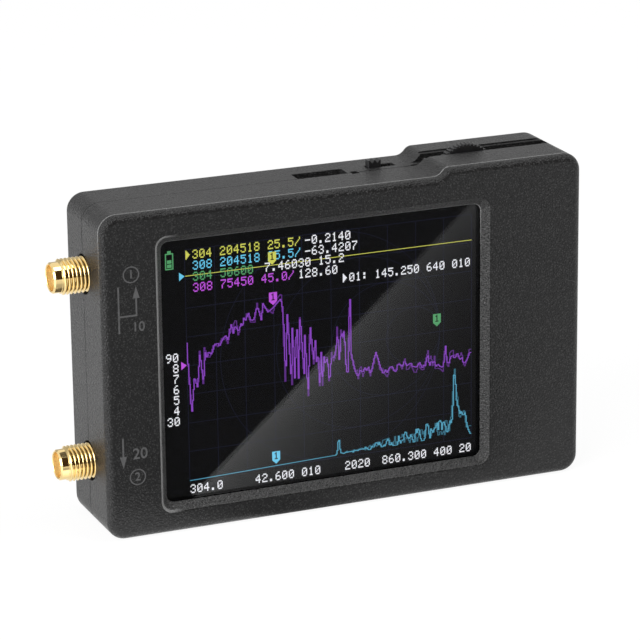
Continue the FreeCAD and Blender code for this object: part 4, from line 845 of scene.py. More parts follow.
def top_slot_tools(case, slots, front_of_seam):
    """Cutters that both shells share: the open parting line, its notch, the thumb slot."""
    high = high_edge(case)
    notch_x = RIGHT - slots.notch_from_right
    half = slots.notch_wide / 2
    thumb_x1 = RIGHT - slots.thumb_from_right
    foot = RIGHT - case.step_from_right - case.step_run / 2
    gap = slots.seam_gap / 2
    # stretches of the open line: from, to, half gaps ahead and behind, depth
    widening = [(notch_x, foot - 1.5, 1.0, 1.0, 1.6), (foot - 2.4, foot - 1.4, 1.8, 1.8, 1.6),
                (foot - 1.3, foot + 0.1, 2.0, 4.5, 1.9)]
    return [block_shape(x0, x1, SEAM - gap * ahead, SEAM + gap * behind, high - deep,
                        high + PAST) for x0, x1, ahead, behind, deep in widening] + [
        top_slot(notch_x - half, notch_x + half, SEAM - slots.notch_half_deep,
                 SEAM + slots.notch_half_deep, high - slots.notch_high, high, 0.15,
                 case.mouth_round),
        top_slot(thumb_x1 - slots.thumb_long, thumb_x1, SEAM - front_of_seam,
                 SEAM + slots.thumb_back, high - case.side_wall * 2, TOP, 0.35,
                 case.mouth_round),
    ]


def window_rectangle(case, grow):
    """The window's inner edge, grown outwards."""
    return (LEFT + case.window_left - grow, RIGHT - case.window_right + grow,
            case.window_low - grow, high_edge(case) - case.window_high + grow,
            case.window_radius + grow / 2)


def window_tool(case):
    """Cutter for the window: a sloping bezel with softened edges."""
    wide = case.bezel_width
    inner = FRONT + case.face_wall
    slope = wide / case.face_wall
    soft, clear = 0.13, 0.05  # softening of the slope's ends, growth of the inner edge
    levels = [
        (FRONT - PAST, wide + soft), (FRONT, wide + soft), (FRONT + 0.025, wide + 0.03),
        (FRONT + 0.11, wide - 0.11 * slope), (inner - soft, soft * slope),
        (inner - clear, 0.07), (inner, clear), (inner + PAST, clear),
    ]
    return loft_shape("XZ", [(level, *window_rectangle(case, grow)) for level, grow in levels])


def from_curve(curve):
    """The bmesh of a curve or of characters, which is then thrown away."""
    thing = bpy.data.objects.new("curve", curve)
    bpy.context.scene.collection.objects.link(thing)
    bm = evaluated(thing)
    bpy.data.curves.remove(curve)
    bmesh.ops.remove_doubles(bm, verts=bm.verts[:], dist=TINY)
    return bm


CAP_SHARE = 0.7  # height of a numeral as a share of the font's size


def text_solid(text, height, depth, bold):
    """Raised characters of a height as a bmesh, lying in XY about their own middle."""
    curve = bpy.data.curves.new("characters", "FONT")
    curve.body = text
    curve.size = height / CAP_SHARE
    curve.offset = bold
    curve.extrude = depth
    curve.resolution_u = 6
    curve.align_x = "CENTER"
    curve.align_y = "CENTER"
    return from_curve(curve)


def bent_wire(points, radius):
    """A round wire through points, with closed ends."""
    curve = bpy.data.curves.new("wire", "CURVE")
    curve.dimensions = "3D"
    curve.bevel_depth = radius
    curve.bevel_resolution = 2
    curve.use_fill_caps = True
    line = curve.splines.new("POLY")
    line.points.add(len(points) - 1)
    for point, place in zip(line.points, points):
        point.co = (*place, 1.0)
    return from_curve(curve)


def stand_up(bm, x, z, level):
    """Turn a flat bmesh to face the front and put it at a place on a level."""
    turn = Matrix.Rotation(math.radians(90), 3, "X")
    bmesh.ops.rotate(bm, verts=bm.verts[:], cent=(0, 0, 0), matrix=turn)
    bmesh.ops.translate(bm, verts=bm.verts[:], vec=(x, level, z))
    return bm


# places of the face markings, across from the port side and up from the bottom
RINGED_NUMBERS = {"1": (5.25, 47.75), "2": (5.45, 11.35)}
PLAIN_NUMBERS = (("10", (6.35, 38.35), 1.65), ("20", (6.0, 15.5), 1.95))
RING_INSIDE, RING_OUTSIDE = 1.25, 1.5
STROKE_GROWN = 0.05  # how much bolder the numbers are than the plain font
BENT_ARROW = [(2.7, 45.8), (3.05, 45.8), (3.05, 40.65), (5.88, 40.65), (5.88, 43.5),
              (5.4, 43.5), (6.05, 45.7), (6.7, 43.5), (6.22, 43.5), (6.22, 40.3),
              (3.05, 40.3), (3.05, 37.5), (2.7, 37.5)]
DOWN_ARROW = [(2.75, 18.7), (3.1, 18.7), (3.1, 15.35), (3.57, 15.35), (2.92, 13.1),
              (2.28, 15.35), (2.75, 15.35)]


def face_marks(start, end):
    """The markings beside the ports as solids: numbers, rings and signal arrows."""
    ringed = [(text, place, RING_OUTSIDE) for text, place in RINGED_NUMBERS.items()]
    marks = [stand_up(text_solid(text, high, (end - start) / 2, STROKE_GROWN),
                      LEFT + x, z, (start + end) / 2)
             for text, (x, z), high in (*ringed, *PLAIN_NUMBERS)]
    ring = [(start, RING_INSIDE), (start, RING_OUTSIDE), (end, RING_OUTSIDE),
            (end, RING_INSIDE)]
    marks += [turned_shape("Y", (LEFT + x, 0, z), ring, 48, True)
              for x, z in RINGED_NUMBERS.values()]
    return marks + [prism_shape("XZ", start, end, [(LEFT + x, z) for x, z in corners])
                    for corners in (BENT_ARROW, DOWN_ARROW)]


def make_front_shell():
    """The front shell with its window, screw posts, port holes and face markings."""
    case = sizes("analyzer_case")
    slots = sizes("analyzer_slots")
    face_in = FRONT + case.face_wall
    groove = case.side_wall - case.lip_thick - case.lip_gap
    post = rod(face_in - SUNK, BOARD_LOW.y - case.post_gap, case.front_boss_r)
    shell = carve(
        shell_blank(case, FRONT),
        ("DIFFERENCE", [case_shape(case, face_in, SEAM + PAST, case.side_wall,
                                   case.inside_radius),
                        case_shape(case, SEAM - case.lip_high - case.lip_gap, SEAM + PAST,
                                   groove, case.corner_radius - groove)]),
        ("UNION", at_screws(case, post, 48)),
        ("DIFFERENCE", at_screws(case, rod(face_in, SEAM + PAST, case.pilot_r), 32)
         + [window_tool(case)]),
        ("DIFFERENCE", port_hole_tools(case) + top_slot_tools(case, slots,
                                                              slots.thumb_front)),
        ("DIFFERENCE", face_marks(FRONT - 0.5, FRONT + case.mark_deep)),
    )
    piece(shell, "front_shell_moulding", case_plastic(), ["front_shell"])
    paint = face_marks(FRONT + case.mark_deep * 0.25, FRONT + case.mark_deep + 0.02)
    piece(joined(paint), "face_markings",
          finish("marking paint", colour("marking"), 0.5, grain=0.2, mottle=1.2,
                 spread_of=0.15), weighted=False)


def make_rear_shell():
    """The rear shell with its lip, screw wells, port holes and top slots."""
    case = sizes("analyzer_case")
    slots = sizes("analyzer_slots")
    back_in = BACK - case.back_wall
    lip = case.side_wall - case.lip_thick
    low_y = SEAM - case.lip_high
    seat = BACK - case.screw_well_deep
    high = high_edge(case)
    flare = case.mouth_round
    well_r = case.screw_well_r
    post = rod(BOARD_HIGH.y + case.post_gap, back_in + SUNK, case.rear_boss_r)
    well = [(0.0, 0.0), (0.0, case.screw_hole_r), (seat, case.screw_hole_r), (seat, well_r)]
    well += [(BACK + along, well_r + grow) for along, grow in mouth_steps(flare)]
    well += [(BACK + PAST, well_r + flare), (BACK + PAST, 0.0)]
    thumb_x0 = RIGHT - slots.thumb_from_right - slots.thumb_long
    thumb_y1 = SEAM + slots.thumb_back
    ledge = block_shape(thumb_x0, thumb_x0 + slots.thumb_long, thumb_y1 - 0.5,
                        thumb_y1 + slots.ledge_wide, TOP - slots.ledge_deep, TOP + PAST, 0.2)
    trough = block_shape(thumb_x0 + 0.5 - slots.trough_long, thumb_x0 + 0.5, SEAM - 0.5,
                         SEAM + slots.trough_wide, high + 0.02, TOP + PAST)
    usb_x = (USB_LOW.x + USB_HIGH.x) / 2
    usb_y1 = max(TONGUE_HIGH.y, USB_HIGH.y) + slots.usb_gap
    switch_x0 = RIGHT - slots.switch_from_right
    switch_y0 = SEAM + slots.switch_back
    floor = high - case.side_wall - 0.1
    shell = carve(
        shell_blank(case, BACK),
        ("UNION", [case_shape(case, low_y, SEAM + PAST, lip, case.corner_radius - lip)]),
        ("DIFFERENCE", [case_shape(case, low_y - PAST, back_in, case.side_wall,
                                   case.inside_radius)]),
        ("UNION", at_screws(case, post, 48)),
        ("DIFFERENCE", at_screws(case, well, 64) + port_hole_tools(case)
         + top_slot_tools(case, slots, case.lip_high + case.lip_gap)),
        ("DIFFERENCE", [
            ledge, trough,
            top_slot(usb_x - slots.usb_wide / 2, usb_x + slots.usb_wide / 2,
                     low_y - case.lip_gap, usb_y1, floor, high, 0.3, flare),
            top_slot(switch_x0, switch_x0 + slots.switch_long, switch_y0,
                     switch_y0 + slots.switch_deep, floor, high, 0.15, flare)]),
    )
    piece(shell, "rear_shell_moulding", case_plastic(), ["rear_shell"])


SCREW_TIP_R, SCREW_TIP_LONG = 0.35, 0.9
SCREW_PLAIN = 2.0  # length without thread, at the tip and under the head
RECESS_ARM, RECESS_HALF = 0.82, 0.2  # the cross, as shares of the head's radius
RECESS_DRAFT = 1.1  # how much wider the cross is at its mouth
# the domed head: rise and radius, as shares of its height and its radius
HEAD_DOME = ((0.3, 1.0), (0.65, 0.9), (0.9, 0.68), (1.0, 0.4))


def cross_recess(x, z, floor, mouth, radius):
    """The two crossed bars that cut a screw's recess, a little wider at its mouth."""
    bars = []
    for wide, tall in ((RECESS_ARM, RECESS_HALF), (RECESS_HALF, RECESS_ARM)):
        bar = bmesh.new()
        verts = add_prism(bar, "XZ", floor, mouth, box_corners(
            x - radius * wide, x + radius * wide, z - radius * tall, z + radius * tall))
        bmesh.ops.scale(bar, vec=(RECESS_DRAFT, 1.0, RECESS_DRAFT), verts=verts,
                        space=Matrix.Translation((-x, 0, -z)))
        bars.append(bar)
    return bars


def make_case_screws():
    """The four cross-headed screws that hold the shells together."""
    case = sizes("analyzer_case")
    screw = sizes("analyzer_screws")
    seat = BACK - case.screw_well_deep
    tip = seat - screw.shank_long
    top = seat + screw.head_high
    root = screw.shank_r - screw.thread_deep
    profile = [(tip, 0.0), (tip, SCREW_TIP_R)]
    here = tip + SCREW_TIP_LONG
    for _ in range(int((screw.shank_long - SCREW_PLAIN) / screw.thread_pitch)):
        profile += [(here, root), (here + screw.thread_pitch * 0.45, screw.shank_r)]
        here += screw.thread_pitch
    profile += [(here, root), (seat, root), (seat, screw.head_r)]
    profile += [(seat + screw.head_high * rise, screw.head_r * share)
                for rise, share in HEAD_DOME]
    profile.append((top, 0.0))
    made = [carve(turned_shape("Y", (x, 0, z), profile, 40),
                  ("DIFFERENCE", cross_recess(x, z, top - screw.recess_deep, top + SUNK,
                                              screw.head_r)))
            for x, z in screw_places(case)]
    piece(joined(made), "cross_head_screws",
          finish("black screw steel", (0.03, 0.03, 0.032), 0.34, 0.85, grain=0.15,
                 depth=0.004, mottle=0.8, spread_of=0.3),
          ["case_screws"])


# ---- display
PANEL_CORNER, PANEL_EDGE = 0.7, 0.08  # rounds of the touch glass


def make_touch_panel():
    """The clear touch glass over the display."""
    bm = prism_shape("XZ", PANEL_LOW.y, PANEL_HIGH.y, box_corners(
        PANEL_LOW.x, PANEL_HIGH.x, PANEL_LOW.z, PANEL_HIGH.z), PANEL_CORNER, 6)
    for level in (PANEL_LOW.y, PANEL_HIGH.y):
        round_edges(bm, rim_edges(bm, "XZ", level), PANEL_EDGE, 2)
    piece(bm, "touch_glass", panel_glass(), ["touch_panel"])


GLYPHS = {
    "0": "01110 10001 10011 10101 11001 10001 01110",
    "1": "00100 01100 00100 00100 00100 00100 01110",
    "2": "01110 10001 00001 00110 01000 10000 11111",
    "3": "01110 10001 00001 00110 00001 10001 01110",
    "4": "00010 00110 01010 10010 11111 00010 00010",
    "5": "11111 10000 11110 00001 00001 10001 01110",
    "6": "00110 01000 10000 11110 10001 10001 01110",
    "7": "11111 00001 00010 00100 01000 01000 01000",
    "8": "01110 10001 10001 01110 10001 10001 01110",
    "9": "01110 10001 10001 01111 00001 00010 01100",
    ".": "00000 00000 00000 00000 00000 01100 01100",
    "-": "00000 00000 00000 11111 00000 00000 00000",
    "/": "00001 00001 00010 00100 01000 10000 10000",
    ":": "00000 01100 01100 00000 01100 01100 00000",
    ">": "10000 11000 11100 11110 11100 11000 10000",
}
GLYPH_WIDE, GLYPH_HIGH = 5, 7


def add_glyph(bm, character, x, z, wide, high, level):
    """One dot-matrix character as lit cells."""
    rows = GLYPHS[character].split()
    made = bmesh.ops.create_grid(bm, x_segments=GLYPH_WIDE, y_segments=GLYPH_HIGH, size=0.5)
    faces = {face for vert in made["verts"] for face in vert.link_faces}
    dark = []
    for face in faces:
        middle = face.calc_center_median()
        column = int((middle.x + 0.5) * GLYPH_WIDE)
        row = GLYPH_HIGH - 1 - int((middle.y + 0.5) * GLYPH_HIGH)
        if rows[row][column] == "0":
            dark.append(face)
    place = (Matrix.Translation((x + wide / 2, level, z + high / 2))
             @ Matrix.Rotation(math.radians(90), 4, "X") @ Matrix.Diagonal((wide, high, 1, 1)))
    bmesh.ops.transform(bm, matrix=place, verts=made["verts"])
    bmesh.ops.delete(bm, geom=dark, context="FACES")


def add_text(bm, screen, text, x, z, layer="text", scale=1.0):
    """A row of dot-matrix characters, from its left foot."""
    for index, character in enumerate(text):
        if character != " ":
            add_glyph(bm, character, x + index * screen.char_step * scale, z,
                      screen.pixel * 5.4 * scale, screen.char_high * scale,
                      layer_level(layer))


def add_plate(bm, layer, corners):
    """A flat polygon facing the front, on a display layer."""
    return add_outline(bm, "XZ", layer_level(layer), corners)


def lit_piece(bm, name, material, thick):
    """Give flat lit shapes their thickness towards the cell and finish them."""
    for vert in bm.verts[:]:
        faces = vert.link_faces
        if len(faces) == 2 and not set(faces[0].edges) & set(faces[1].edges):
            bmesh.utils.face_vert_separate(faces[0], vert)
    grown = bmesh.ops.extrude_face_region(bm, geom=bm.faces[:], use_keep_orig=True)
    moved = [item for item in grown["geom"] if isinstance(item, bmesh.types.BMVert)]
    bmesh.ops.translate(bm, verts=moved, vec=(0, thick, 0))
    piece(bm, name, material, weighted=False, sharp=20.0)


LAYER = {"grid": 0.012, "fade": 0.022, "trace": 0.034, "text": 0.046, "value": 0.058,
         "tag": 0.070, "tag_text": 0.082}  # how far each layer stands off the cell
CHART_THICK = 0.004
LIT_THICK = 0.01
MATCH_UP = 7.1  # the level trace, in divisions up the plot
# the chart's circles: size and slide to the side, as shares of the largest one's radius
CHART_CIRCLES = ((1.0, 0.0), (0.5, 0.5), (0.25, 0.75), (0.75, 0.25))


def layer_level(name):
    """Depth of one display layer, a little in front of the cell."""
    return CELL_LOW.y - LAYER[name]


def plot_place(screen, across, up):
    """A point of the plot from its divisions."""
    return (LEFT + screen.plot_left + screen.plot_wide * across / 10,
            screen.plot_low + screen.plot_high * up / 8)


def make_plot_grid(screen):
    """Grid lines and the circles of the impedance chart."""
    bm = bmesh.new()
    half = screen.grid_line / 2
    _, z0 = plot_place(screen, 0, 0)
    _, z1 = plot_place(screen, 10, 8)
    for step in range(11):
        x, _ = plot_place(screen, step, 0)
        add_plate(bm, "grid", box_corners(x - half, x + half, z0, z1))
    for step in range(9):
        for column in range(10):
            left, z = plot_place(screen, column, step)
            right, _ = plot_place(screen, column + 1, step)
            add_plate(bm, "grid", box_corners(left + half, right - half, z - half, z + half))
    radius = screen.plot_high / 2
    circles = bmesh.new()
    for share, slide in CHART_CIRCLES:
        made = bmesh.ops.create_circle(circles, cap_ends=True, radius=radius * share,
                                       segments=ROUND)
        face = made["verts"][0].link_faces[0]
        bmesh.ops.inset_region(circles, faces=[face], thickness=half * 1.6,
                               use_boundary=True)
        bmesh.ops.translate(circles, verts=made["verts"] + [
            vert for vert in face.verts if vert not in made["verts"]],
            vec=(radius * slide, 0, 0))
        bmesh.ops.delete(circles, geom=[face], context="FACES")
    stand_up(circles, *plot_place(screen, 5, 4), layer_level("grid") - CHART_THICK)
    lit_piece(circles, "impedance_chart", glow("grid", 1.0), CHART_THICK)
    lit_piece(bm, "plot_grid", glow("grid", 1.0), LAYER["grid"])


def swings(rng, start, end, low, high, step):
    """Points that jump between a low and a high band."""
    points = []
    across = start
    upper = True
    while across < end:
        band = high if upper else low
        points.append((across, rng.uniform(*band)))
        across += rng.uniform(*step)
        upper = not upper
    return points


def phase_points(rng):
    """The phase trace: a noisy climb, a band of full swings, then a low noisy run."""
    points = [(0.0, 4.8), (0.05, 3.7), (0.12, 2.25), (0.24, 3.6), (0.34, 3.2), (0.44, 4.4),
              (0.55, 3.3)]
    across = 0.62
    while across < 2.7:
        level = 3.5 + 2.15 * min(across / 2.5, 1.0) ** 0.75
        jump = rng.choice((0.16, 0.16, 0.22, 0.5))
        points.append((across, level + rng.uniform(-jump, jump)))
        across += rng.uniform(0.035, 0.09)
    points += [(2.8, 5.5), (2.95, 5.6), (3.1, 5.75), (3.25, 5.9)]
    points += swings(rng, 3.32, 4.05, (2.8, 3.3), (4.9, 5.6), (0.04, 0.13))
    points += swings(rng, 4.07, 4.7, (2.3, 3.9), (3.9, 5.1), (0.04, 0.11))
    points += swings(rng, 4.72, 5.2, (2.2, 3.6), (3.5, 4.2), (0.05, 0.10))
    points += swings(rng, 5.22, 5.55, (3.0, 4.3), (4.4, 5.2), (0.04, 0.08))
    points += [(5.58, 3.0), (5.66, 5.95), (5.7, 3.6), (5.78, 3.15)]
    across = 5.84
    drift = 0.0
    while across < 10.0:
        drift = 0.75 * drift + rng.uniform(-0.16, 0.16)
        spike = rng.choice((0.0, 0.0, 0.0, 0.0, 0.0, 0.5))
        level = 2.8 + 0.06 * (across - 6.0) + drift
        points.append((across, level + spike + rng.uniform(-0.1, 0.1)))
        across += rng.uniform(0.04, 0.10)
    return points


def gain_points(rng):
    """The gain trace: a clean slow rise, one spike, then growing noise with a peak."""
    points = [(0.0, -0.03), (5.12, 0.1), (5.16, 0.2), (5.22, 0.75), (5.28, 0.16), (5.4, 0.12)]
    across = 5.5
    while across < 10.0:
        grown = max(0.0, (across - 5.9) / 4.0)
        level = 0.15 + 0.5 * min(grown, 0.9)
        noise = 0.04 + 0.26 * min(grown * 1.6, 1.0)
        peak = 1.6 * math.exp(-((across - 9.4) / 0.07) ** 2)
        shoulder = 0.5 * math.exp(-((across - 9.5) / 0.22) ** 2)
        fade = 0.5 if across > 9.8 else 1.0
        jump = rng.choice((-1.0, -0.3, 0.2, 0.9)) * noise
        points.append((across, (level + jump) * fade + peak + shoulder))
        across += rng.uniform(0.03, 0.07)
    return points


def wander(rng, points, reach):
    """The same trace a sweep later, a little off everywhere."""
    return [(across + rng.uniform(-0.02, 0.02), level + rng.uniform(-reach, reach))
            for across, level in points]


def level_at(points, across):
    """Level of a polyline at a place."""
    for (x0, z0), (x1, z1) in zip(points, points[1:]):
        if across <= x1:
            return z0 + (z1 - z0) * (across - x0) / max(x1 - x0, 1e-6)
    return points[-1][1]


def add_trace(bm, screen, points, level, line):
    """A trace as columns of lit pixels, each from its lowest to its highest level."""
    columns = round(screen.plot_wide / screen.pixel)
    made = bmesh.ops.create_grid(bm, x_segments=columns, y_segments=1, size=0.5)
    walls = [edge for vert in made["verts"] for edge in vert.link_edges
             if abs(edge.verts[0].co.x - edge.verts[1].co.x) < TINY]
    bmesh.ops.split_edges(bm, edges=list(set(walls)))
    heights = [level_at(points, 10 * index / columns) for index in range(columns + 1)]
    unit = screen.plot_high / 8
    for face in bm.faces:
        column = int((face.calc_center_median().x + 0.5) * columns)
        pair = heights[column:column + 2]
        for vert in face.verts:
            side = 1 if vert.co.x * columns > column + 0.5 - columns / 2 else 0
            up = max(pair) * unit + line / 2 if vert.co.y > 0 else min(pair) * unit - line / 2
            x, z = plot_place(screen, 10 * (column + side) / columns, 0)
            vert.co = (x, level, z + up)


def make_traces(screen):
    """The traces of the display, each with the fainter one of the sweep before."""
    rng = random.Random(7)
    line = screen.trace_line
    phase, gain = phase_points(rng), gain_points(rng)
    gain_before = gain_points(rng)
    for name, points, tone, strength, layer in (
            ("phase_before", wander(rng, phase, 0.22), "violet", 0.42, "fade"),
            ("gain_before", gain_before, "cyan", 0.25, "fade"),
            ("phase", phase, "violet", 1.0, "trace"), ("gain", gain, "cyan", 0.62, "trace")):
        bm = bmesh.new()
        add_trace(bm, screen, points, layer_level(layer), line)
        lit_piece(bm, "trace_" + name, glow(tone, strength), 0.008)
    bm = bmesh.new()
    x0, z = plot_place(screen, 0, MATCH_UP)
    x1, _ = plot_place(screen, 10, MATCH_UP)
    add_plate(bm, "text", box_corners(x0, x1, z - line / 2, z + line / 2))
    lit_piece(bm, "trace_match", glow("yellow", 1.0), LIT_THICK)


TAG_HALF, TAG_TIP, TAG_HIGH = 0.75, 0.7, 2.3
POINTER_HALF, POINTER_GAP, POINTER_LONG = 0.75, 0.1, 1.0


def tag_corners(x, z):
    """A five-sided marker tag whose tip points down to a place."""
    return [(x, z), (x + TAG_HALF, z + TAG_TIP), (x + TAG_HALF, z + TAG_HIGH),
            (x - TAG_HALF, z + TAG_HIGH), (x - TAG_HALF, z + TAG_TIP)]


# readouts and signs, in millimetres across from the port side and up from the bottom
TRACE_ROWS = (("yellow", ">304 204518 25.5/", "-0.2140"),
              ("cyan", " 308 204518 25.5/", "-63.4207"),
              ("green", " 304 50600", " 7.46030 15.2"), ("magenta", " 308 75450 45.0/", "128.60"))
MARKER_ROW = (">01: 145.250 640 010", 45.1, 40.75)
SIDE_NUMBERS = ("90", " 8", " 7", " 6", " 5", " 4", "30")
SIDE_LEFT, SIDE_TOP, SIDE_STEP = 12.0, 30.3, 1.93
FOOT_NUMBERS = (("304.0", 15.9), ("42.600 010", 28.1), ("2020", 45.2), ("860.300 400 20", 52.4))
FOOT_UP = 5.95
BATTERY_BARS = ((12.28, 12.48, 47.0, 49.9), (13.58, 13.78, 47.0, 49.9),
                (12.48, 13.58, 47.0, 47.2), (12.48, 13.58, 49.7, 49.9),
                (12.7, 13.36, 49.9, 50.35), (12.62, 13.44, 47.35, 47.95),
                (12.62, 13.44, 48.1, 48.7))
# places on the plot, in its divisions
SCALE_POINTERS = (("cyan", 0.0, MATCH_UP), ("magenta", 0.0, 4.03))
MARKER_TAGS = (("magenta", 2.98, 5.72), ("cyan", 3.0, 0.12), ("green", 8.75, 4.2),
               ("yellow", 2.97, 7.12))


def make_readouts(screen):
    """Numbers, scales, marker tags and the battery sign."""
    shapes = {name: bmesh.new()
              for name in ("yellow", "cyan", "green", "magenta", "white")}
    white, dark = shapes["white"], bmesh.new()
    for index, (tone, label, value) in enumerate(TRACE_ROWS):
        z = screen.row_low - index * screen.row_step
        x = LEFT + screen.row_left - screen.char_step
        add_text(shapes[tone], screen, label, x, z)
        add_text(white, screen, value, x + (len(label) + 0.5) * screen.char_step, z, "value")
    text, x, z = MARKER_ROW
    add_text(white, screen, text, LEFT + x, z, scale=0.98)
    for index, text in enumerate(SIDE_NUMBERS):
        add_text(white, screen, text, LEFT + SIDE_LEFT, SIDE_TOP - index * SIDE_STEP)
    for text, x in FOOT_NUMBERS:
        add_text(white, screen, text, LEFT + x, FOOT_UP)
    for x0, x1, z0, z1 in BATTERY_BARS:
        add_plate(shapes["green"], "text", box_corners(LEFT + x0, LEFT + x1, z0, z1))
    for tone, across, up in SCALE_POINTERS:
        x, z = plot_place(screen, across, up)
        foot = x - POINTER_GAP - POINTER_LONG
        add_plate(shapes[tone], "value", [(foot, z - POINTER_HALF), (x - POINTER_GAP, z),
                                          (foot, z + POINTER_HALF)])
    for tone, across, up in MARKER_TAGS:
        x, z = plot_place(screen, across, up)
        add_plate(shapes[tone], "tag", tag_corners(x, z))
        add_glyph(dark, "1", x - 0.5, z + 0.85, 1.0, 1.3, layer_level("tag_text"))
    for tone, bm in shapes.items():
        lit_piece(bm, "readout_" + tone, glow(tone, 0.9 if tone == "green" else 1.0), LIT_THICK)
    lit_piece(dark, "marker_numbers", display_black(), LIT_THICK)


# ---- ports
THREAD_FLANK = math.radians(30.0)
THREAD_STEPS = 70  # steps in one turn of a port's thread
PORT_LEG_LONG = 4.0  # board legs behind the flange
NECK_FROM, NECK_TO = 0.25, 2.6  # the plain neck, in from the case's port side
CORE_END = 3.0  # end of the core, past the neck's
MOUTH_FLARE = 0.12


def port_envelope(port):
    """Outline that trims the thread: tip chamfer, lead-in and neck, about the axis."""
    start = PORT_LOW.x + port.tip_long
    rise = port.thread_r + 0.05 - port.tip_r
    return [
        (PORT_LOW.x, 0.0), (PORT_LOW.x, port.tip_r - port.chamfer),
        (PORT_LOW.x + port.chamfer, port.tip_r), (start, port.tip_r),
        (start + rise * 0.7, port.tip_r + rise), (LEFT + NECK_FROM, port.tip_r + rise),
        (LEFT + NECK_FROM, port.neck_r), (LEFT + NECK_TO, port.neck_r),
        (LEFT + NECK_TO, 0.0),
    ]


def fill_ends(bm):
    """Close the open ends of a swept shape."""
    bmesh.ops.holes_fill(bm, edges=[edge for edge in bm.edges if len(edge.link_faces) == 1],
                         sides=0)


def thread_ridge(port, z):
    """The helical ridge of one port, its foot sunk into the core."""
    start = PORT_LOW.x + port.tip_long - port.thread_pitch * 0.6
    turns = math.ceil((LEFT + 1.4 - start) / port.thread_pitch)
    foot = port.thread_r - port.thread_deep - port.ridge_sink
    slope = math.tan(THREAD_FLANK)
    low = port.thread_r - port.crest_round
    shoulder = port.thread_r - port.crest_round * 0.22
    crest = port.crest / 2
    side = crest + port.crest_round * slope
    half = side + (low - foot) * slope
    corners = [(-half, foot), (-side, low), (-crest * 0.6, shoulder), (0.0, port.thread_r),
               (crest * 0.6, shoulder), (side, low), (half, foot)]
    bm = bmesh.new()
    verts = [bm.verts.new((start + along, SEAM, z + radius)) for along, radius in corners]
    edges = [bm.edges.new((verts[index - 1], vert)) for index, vert in enumerate(verts)]
    bmesh.ops.spin(bm, geom=verts + edges, cent=(0, SEAM, z), axis=(1, 0, 0),
                   dvec=(port.thread_pitch / THREAD_STEPS, 0, 0), angle=math.tau * turns,
                   steps=THREAD_STEPS * turns, use_duplicate=False)
    # turned a little, so that no edge of the ridge lies on one of the core's
    bmesh.ops.rotate(bm, verts=bm.verts[:], cent=(0, SEAM, z),
                     matrix=Matrix.Rotation(0.021, 3, "X"))
    fill_ends(bm)
    return bm


def make_port(number):
    """One threaded port: its barrel with flange and legs, dielectric and contact."""
    port = sizes("analyzer_ports")
    z = PORT_HEIGHTS[number]
    centre = (0, SEAM, z)
    tip = PORT_LOW.x
    root = port.thread_r - port.thread_deep
    inside = port.neck_r + 0.1
    core = turned_shape("X", centre, [
        (tip - 0.5, 0.0), (tip - 0.5, root), (LEFT + 0.1, root), (LEFT + 0.2, inside),
        (LEFT + CORE_END, inside), (LEFT + CORE_END, 0.0)], 88)
    flange_x1 = PORT_HIGH.x - PORT_LEG_LONG
    half = port.flange_half
    flange = prism_shape("YZ", flange_x1 - port.flange_thick, flange_x1,
                         box_corners(SEAM - half, SEAM + half, z - half, z + half))
    round_edges(flange, flange.edges[:], 0.1, 2)
    outer = half - port.leg_inset
    leg = port.leg_wide
    legs = [block_shape(flange_x1 - 0.2, PORT_HIGH.x, y0, y0 + leg, z + low, z + low + leg)
            for low in (-outer, outer - leg) for y0 in (BOARD_HIGH.y, BOARD_LOW.y - leg)]
    face = tip + port.mouth_deep
    bore_r = port.insulator_r + 0.01
    bore = turned_shape("X", centre, [
        (tip - PAST, 0.0), (tip - PAST, port.mouth_r + MOUTH_FLARE),
        (tip, port.mouth_r + MOUTH_FLARE), (tip + MOUTH_FLARE, port.mouth_r),
        (face, port.mouth_r), (face, bore_r),
        (flange_x1 + 0.5, bore_r), (flange_x1 + 0.5, 0.0)])
    threaded = carve(core, ("UNION", [thread_ridge(port, z)]),
                     ("INTERSECT", [turned_shape("X", centre, port_envelope(port))]))
    body = carve(threaded, ("UNION", [flange]), ("UNION", legs), ("DIFFERENCE", [bore]))
    piece(body, f"port_{number}_barrel", gold_plate(),
          [f"port_{number}_body"], sharp=40.0)

    insulator = turned_shape("X", centre, [
        (face, port.contact_r + 0.06), (face, port.insulator_r - 0.1),
        (face + 0.1, port.insulator_r), (flange_x1, port.insulator_r),
        (flange_x1, port.contact_r + 0.01), (face + 0.06, port.contact_r + 0.01)],
        64, True)
    piece(insulator, f"port_{number}_dielectric",
          finish("white insulator", (0.82, 0.80, 0.76), 0.42, grain=0.1, depth=0.003,
                 mottle=0.9, spread_of=0.04),
          [f"port_{number}_insulator"])

    tail_x = flange_x1 + port.tail_long
    contact_r, hole_r = port.contact_r, port.contact_hole_r
    hole_x = face + port.contact_hole_deep
    pin = turned_shape("X", centre, [
        (tail_x, 0.0), (tail_x, port.tail_r), (flange_x1, port.tail_r),
        (flange_x1, contact_r), (face + 0.08, contact_r), (face, contact_r - 0.06),
        (face, hole_r + 0.05), (face + 0.08, hole_r), (hole_x, hole_r),
        (hole_x + 0.25, 0.0)], 48)
    slit = port.contact_slit / 2
    wide = contact_r + 0.2
    slits = [block_shape(face - PAST, face + port.contact_hole_deep * 0.8,
                         SEAM - dy, SEAM + dy, z - dz, z + dz)
             for dy, dz in ((slit, wide), (wide, slit))]
    piece(carve(pin, ("DIFFERENCE", slits)), f"port_{number}_socket_contact", gold_plate(),
          [f"port_{number}_contact"])


